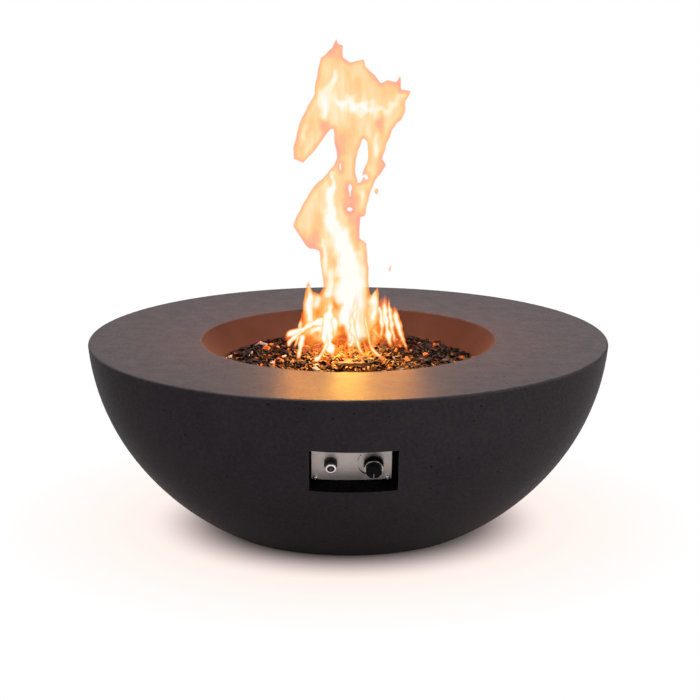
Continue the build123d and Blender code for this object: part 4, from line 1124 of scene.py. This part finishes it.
flame_curtain([curtain_edge, *curtain_holes])
flame_curtain([curtain_edge, curtain_holes[0]], turn=pi / 2, squeeze=0.7, shift=-4.0, bow=4.0)
for wisp in stray_wisps:
    flame_curtain([wisp], bow=0.0)
print(len(flame_faces), "faces in the curtains")

# %% [markdown]
# ## Ribbons between the stones
# A ribbon follows a few keys, each a place and half a width. A smooth curve runs through them,
# and a slow noise makes it sway and swell. The ribbons that show are laid one by one after the
# picture, and a ring of small tongues is drawn at random round the burner.

# %% Ribbon maker
across_steps = 8
steps_per_key = 8
ribbon_block = 0.45
ribbon_edge = 5.5
ribbon_bow = 0.4
least_half = 0.6
look_ahead = 0.02
sway_scale, swell_scale, swell_share = 0.05, 0.08, 1.2
root_fade, tip_fade = 8, 5


def smooth_run(keys, share):
    """The values between two rows of keys, on a curve that passes through every row."""
    last = len(keys) - 1
    at = min(share * last, last - 1e-6)
    low = int(at)
    t = at - low
    rows = [keys[max(0, min(last, low + shift))] for shift in (-1, 0, 1, 2)]
    result = []
    for a, b, c, d in zip(*rows):
        result.append(0.5 * (2 * b + (c - a) * t + (2 * a - 5 * b + 4 * c - d) * t * t
                             + (3 * b - a - 3 * c + d) * t ** 3))
    return result


def flame_ribbon(keys, turn=0.0, heat=1.0, flutter=0.35, cover=1.0):
    """A ribbon along rows of (x, y, z, half width), in millimetres, that faces one way."""
    steps = steps_per_key * (len(keys) - 1)
    seed = flame_dice.uniform(0, 50)
    out = Vector((-sin(turn), cos(turn), 0))
    first = len(flame_points)
    run, before = 0.0, None
    for step in range(steps + 1):
        share = step / steps
        x, y, z, half = smooth_run(keys, share)
        ahead = smooth_run(keys, min(1.0, share + look_ahead))
        behind = smooth_run(keys, max(0.0, share - look_ahead))
        along = Vector(ahead[:3]) - Vector(behind[:3])
        side = along.cross(out).normalized()
        middle = Vector((x, y, z))
        run += (middle - before).length if before else 0.0
        before = middle.copy()
        sway = noise.noise(Vector((seed + 3, run * sway_scale, 0.4)))
        swell = noise.noise(Vector((seed, run * swell_scale, 0.4)))
        middle += side * (half * flutter * sway)
        half = max(half, least_half) * (1 + swell_share * flutter * swell)
        for place in range(across_steps + 1):
            u = 2 * place / across_steps - 1
            point = middle + side * (u * half) + out * (ribbon_bow * half * (1 - u * u))
            fade = cover * min(1.0, (1 - share) * tip_fade, share * root_fade)
            flow = (u * half * 0.001 + seed, run * 0.001, seed)
            depth = (1 - abs(u)) * half
            warm = heat * min(1.0, depth / ribbon_edge)
            flame_point(point, flow, depth, warm, fade, ribbon_block)
    sheet_faces(first, steps + 1, across_steps + 1)


print("ribbons of", across_steps, "faces across")

# %% Ribbons that show
shown_ribbons = [
    [(-128, -40, 390, 4), (-120, -42, 405, 7), (-104, -44, 411, 8), (-80, -44, 424, 8),
     (-52, -42, 433, 11), (-34, -40, 430, 12), (-28, -38, 408, 9), (-26, -38, 384, 7)],
    [(-122, -50, 380, 3), (-121, -50, 393, 6), (-108, -50, 405, 7), (-92, -50, 414, 4)],
    [(-105, -70, 358, 4), (-99, -70, 379, 7), (-96, -68, 398, 7), (-90, -64, 415, 3)],
    [(-32, -60, 358, 6), (-42, -60, 383, 11), (-46, -60, 408, 12), (-41, -56, 434, 12),
     (-37, -50, 462, 9), (-37, -40, 490, 4)],
    [(-74, -92, 366, 4), (-62, -92, 366, 6), (-51, -88, 382, 6), (-45, -80, 402, 4),
     (-44, -74, 420, 2)],
    [(-6, -32, 392, 3), (3, -30, 379, 5), (9, -30, 393, 5), (9, -30, 424, 8), (14, -26, 458, 6),
     (16, -24, 490, 2)],
    [(42, -92, 356, 2), (26, -92, 378, 4), (14, -88, 403, 6), (6, -80, 436, 7), (4, -70, 470, 3)],
    [(74, -82, 366, 2), (58, -80, 371, 5), (45, -80, 390, 5), (38, -78, 412, 5), (34, -74, 443, 4),
     (36, -70, 466, 1)],
    [(46, -4, 404, 5), (50, -2, 424, 9), (50, 0, 444, 10), (54, 0, 468, 7), (60, 0, 494, 2)],
    [(64, -6, 384, 3), (69, -6, 404, 5), (70, -4, 424, 7), (64, -2, 446, 7), (58, 0, 462, 3)],
    [(90, -10, 366, 4), (81, -8, 396, 7), (77, -6, 425, 8), (74, -4, 452, 7), (76, 0, 480, 1)],
    [(96, 6, 372, 4), (91, 6, 402, 7), (87, 6, 430, 7), (85, 6, 455, 5), (82, 6, 474, 1)],
    [(122, 0, 358, 3), (112, 0, 384, 6), (105, 0, 406, 7), (99, 0, 432, 7), (94, 0, 458, 2)],
    [(-112, -20, 372, 3), (-104, -20, 392, 6), (-99, -18, 412, 6), (-95, -16, 440, 2)],
]
faint_ribbons = [
    [(78, 24, 362, 12), (76, 24, 392, 22), (74, 24, 424, 22), (72, 24, 452, 12), (74, 24, 470, 3)],
    [(106, 22, 360, 8), (100, 22, 388, 13), (96, 22, 420, 13), (92, 22, 448, 5)],
    [(-74, 22, 368, 14), (-74, 22, 400, 24), (-72, 22, 432, 24), (-70, 22, 462, 14)],
]
for keys in faint_ribbons:
    flame_ribbon(keys, heat=0.35, flutter=0.3, cover=0.55)
for keys in shown_ribbons:
    flame_ribbon(keys, heat=1.25, flutter=0.45)
print(len(shown_ribbons), "bright ribbons,", len(faint_ribbons), "faint ones")

# %% Small tongues round the ring
ring_reach = 1000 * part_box("burner_ring")[1].x
tongue_foot = 1000 * fill_top + 4
small_tongues = 44
tongue_widths = ((0, 0.5), (0.25, 1.0), (0.5, 0.85), (0.75, 0.5), (1, 0.08))

for index in range(small_tongues):
    around = index * golden_angle
    out = ring_reach * flame_dice.uniform(0.2, 0.85)
    height = flame_dice.uniform(18, 56) * (1.3 - 0.7 * out / ring_reach)
    half = flame_dice.uniform(2.5, 6)
    lean = flame_dice.uniform(0.05, 0.5)
    x, y = out * cos(around), out * sin(around)
    twist = flame_dice.uniform(-14, 14)
    keys = []
    for share, width in tongue_widths:
        inwards = 1 - lean * share
        bend = twist * sin(pi * share)
        keys.append((x * inwards + bend * sin(around), y * inwards - bend * cos(around),
                     tongue_foot + height * share, half * width))
    facing = flame_dice.uniform(-0.8, 0.8) if index % 2 else around + pi / 2
    flame_ribbon(keys, facing, flame_dice.uniform(0.4, 1.0), cover=0.8)
print(small_tongues, "small tongues")

# %% A veil and a curl on the right
veil = [(48, -2, 364, 5), (52, -2, 384, 12), (54, -2, 404, 14), (52, -2, 424, 8)]
curl = [(72, -8, 387, 3), (62, -8, 394, 4), (52, -8, 406, 5), (42, -8, 424, 4)]
flame_ribbon(veil, heat=0.4, flutter=0.3, cover=0.8)
flame_ribbon(curl, heat=0.9, flutter=0.3, cover=0.9)
print(len(flame_faces), "faces in all")

# %% [markdown]
# ## Gas that burns
# The material reads what each point carries. Depth and warmth pick a colour between orange and
# white. Two noise patterns, stretched along the flow, tear it into streaks. Where the gas is
# thin it only adds its own light to what lies behind it, and where it is thick it covers it.

# %% Burning gas
fine_stretch, broad_stretch = (62.0, 9.0, 1.0), (26.0, 11.0, 1.0)

burning = bpy.data.materials.new("burning_gas")
burning.cycles.emission_sampling = "NONE"
tree = emptied(burning)
flow = add(tree, "Attribute", attribute_name="flow").outputs["Vector"]
depth, heat, fade, block = (
    add(tree, "Attribute", attribute_name=label).outputs["Fac"]
    for label in ("depth", "warmth", "fade", "block")
)
thin, wide = (vector(tree, "MULTIPLY", flow, size) for size in (fine_stretch, broad_stretch))
streak = noisy(tree, thin, 1.0, 2.0, distortion=0.5)
lace = noisy(tree, wide, 1.0, 3.0, distortion=0.8)
warmth = calc(tree, "MULTIPLY_ADD", heat, 0.6, spread(tree, depth, 0.0, 11.0, -0.06, 0.4))
for pattern, middle, share in ((streak, 0.5, 0.5), (lace, 0.5, 0.5), (fade, 1.0, 1.1)):
    warmth = calc(tree, "MULTIPLY_ADD", calc(tree, "SUBTRACT", pattern, middle), share, warmth)
ramp_node = add(tree, "ValToRGB", {0: warmth})
fill_ramp(ramp_node, [
    (0.0, colour(1.0, 0.16, 0.02)),
    (0.25, colour(1.0, 0.27, 0.03)),
    (0.42, colour(1.0, 0.46, 0.11)),
    (0.6, colour(1.0, 0.64, 0.3)),
    (0.78, colour(1.0, 0.87, 0.62)),
    (0.95, colour(1.0, 0.99, 0.93)),
])
ragged = calc(tree, "MULTIPLY_ADD", calc(tree, "SUBTRACT", lace, 0.5), 5.0, depth)
edge_on = add(tree, "LayerWeight", {"Blend": 0.5}).outputs["Facing"]
solid = calc(tree, "MULTIPLY", spread(tree, ragged, 0.0, 1.8), fade)
solid = calc(tree, "MULTIPLY", solid, spread(tree, edge_on, 0.92, 0.6))
core = spread(tree, warmth, 0.2, 0.85)
shine = calc(tree, "MULTIPLY", solid, spread(tree, core, 0.0, 1.0, 0.95, 1.0))
stopped = calc(tree, "MULTIPLY", solid, spread(tree, core, 0.0, 1.0, block, 1.0))
glow = add(tree, "Emission", {"Color": ramp_node.outputs[0], "Strength": shine}).outputs[0]
passed = calc(tree, "SUBTRACT", 1.0, stopped, clamp=True)
clear_gas = add(tree, "BsdfTransparent", {"Color": passed}).outputs[0]
gas = add(tree, "AddShader", {0: clear_gas, 1: glow}).outputs[0]
add(tree, "OutputMaterial", {"Surface": gas})
sheets_seen_through = 64
scene.cycles.transparent_max_bounces = sheets_seen_through
print("finish", burning.name)

# %% Flame mesh
flame = shaped("flame", flame_points, flame_faces, burning)
flows = flame_marks.pop("flow")
laid_out = [part for flow in flows for part in flow]
flame.data.attributes.new("flow", "FLOAT_VECTOR", "POINT").data.foreach_set("vector", laid_out)
for label, values in flame_marks.items():
    flame.data.attributes.new(label, "FLOAT", "POINT").data.foreach_set("value", values)
flame.data.shade_smooth()
flame.visible_shadow = False
flame.visible_diffuse = False
print("flame of", len(flame_points), "points")

# %% [markdown]
# ## Firelight
# The sheets are only seen. What a flame throws on the things round it comes from six small
# warm lamps on the bowl's axis, which is quicker and has no grain. Three of them light the
# stones and the well, from low to high. The other three are only mirrored: a broad one for
# the soft glow on the rim, a small one for its bright core, and a low one for the stones.
# With the two kinds apart, each can be set without spoiling the other.

# %% Fire lamps
fire_forward = -0.01
fire_tone = (1.0, 0.27, 0.07)
shine_tone = (1.0, 0.33, 0.01)
gleam_tone = (1.0, 0.55, 0.02)
ember_tone = (1.0, 0.42, 0.08)


def fire_lamp(name, height, power, reach, tone, mirrored):
    """A warm lamp on the burner's axis, which either lights or is mirrored."""
    light = bpy.data.lights.new(name, "POINT")
    light.energy = power
    light.color = tone
    light.shadow_soft_size = reach
    lamp = placed(name, light, (0.0, fire_forward, height))
    lamp.visible_glossy = mirrored
    lamp.visible_diffuse = not mirrored


# Name, height, power, radius, tone, and whether it is only mirrored.
fire_lamp("fire_low", 0.43, 3.6, 0.035, fire_tone, False)
fire_lamp("fire_middle", 0.49, 2.4, 0.05, fire_tone, False)
fire_lamp("fire_high", 0.68, 1.6, 0.08, fire_tone, False)
fire_lamp("fire_shine", 0.49, 28.0, 0.15, shine_tone, True)
fire_lamp("fire_gleam", 0.48, 3.4, 0.03, gleam_tone, True)
fire_lamp("fire_embers", 0.42, 5.0, 0.05, ember_tone, True)
print("six fire lamps")
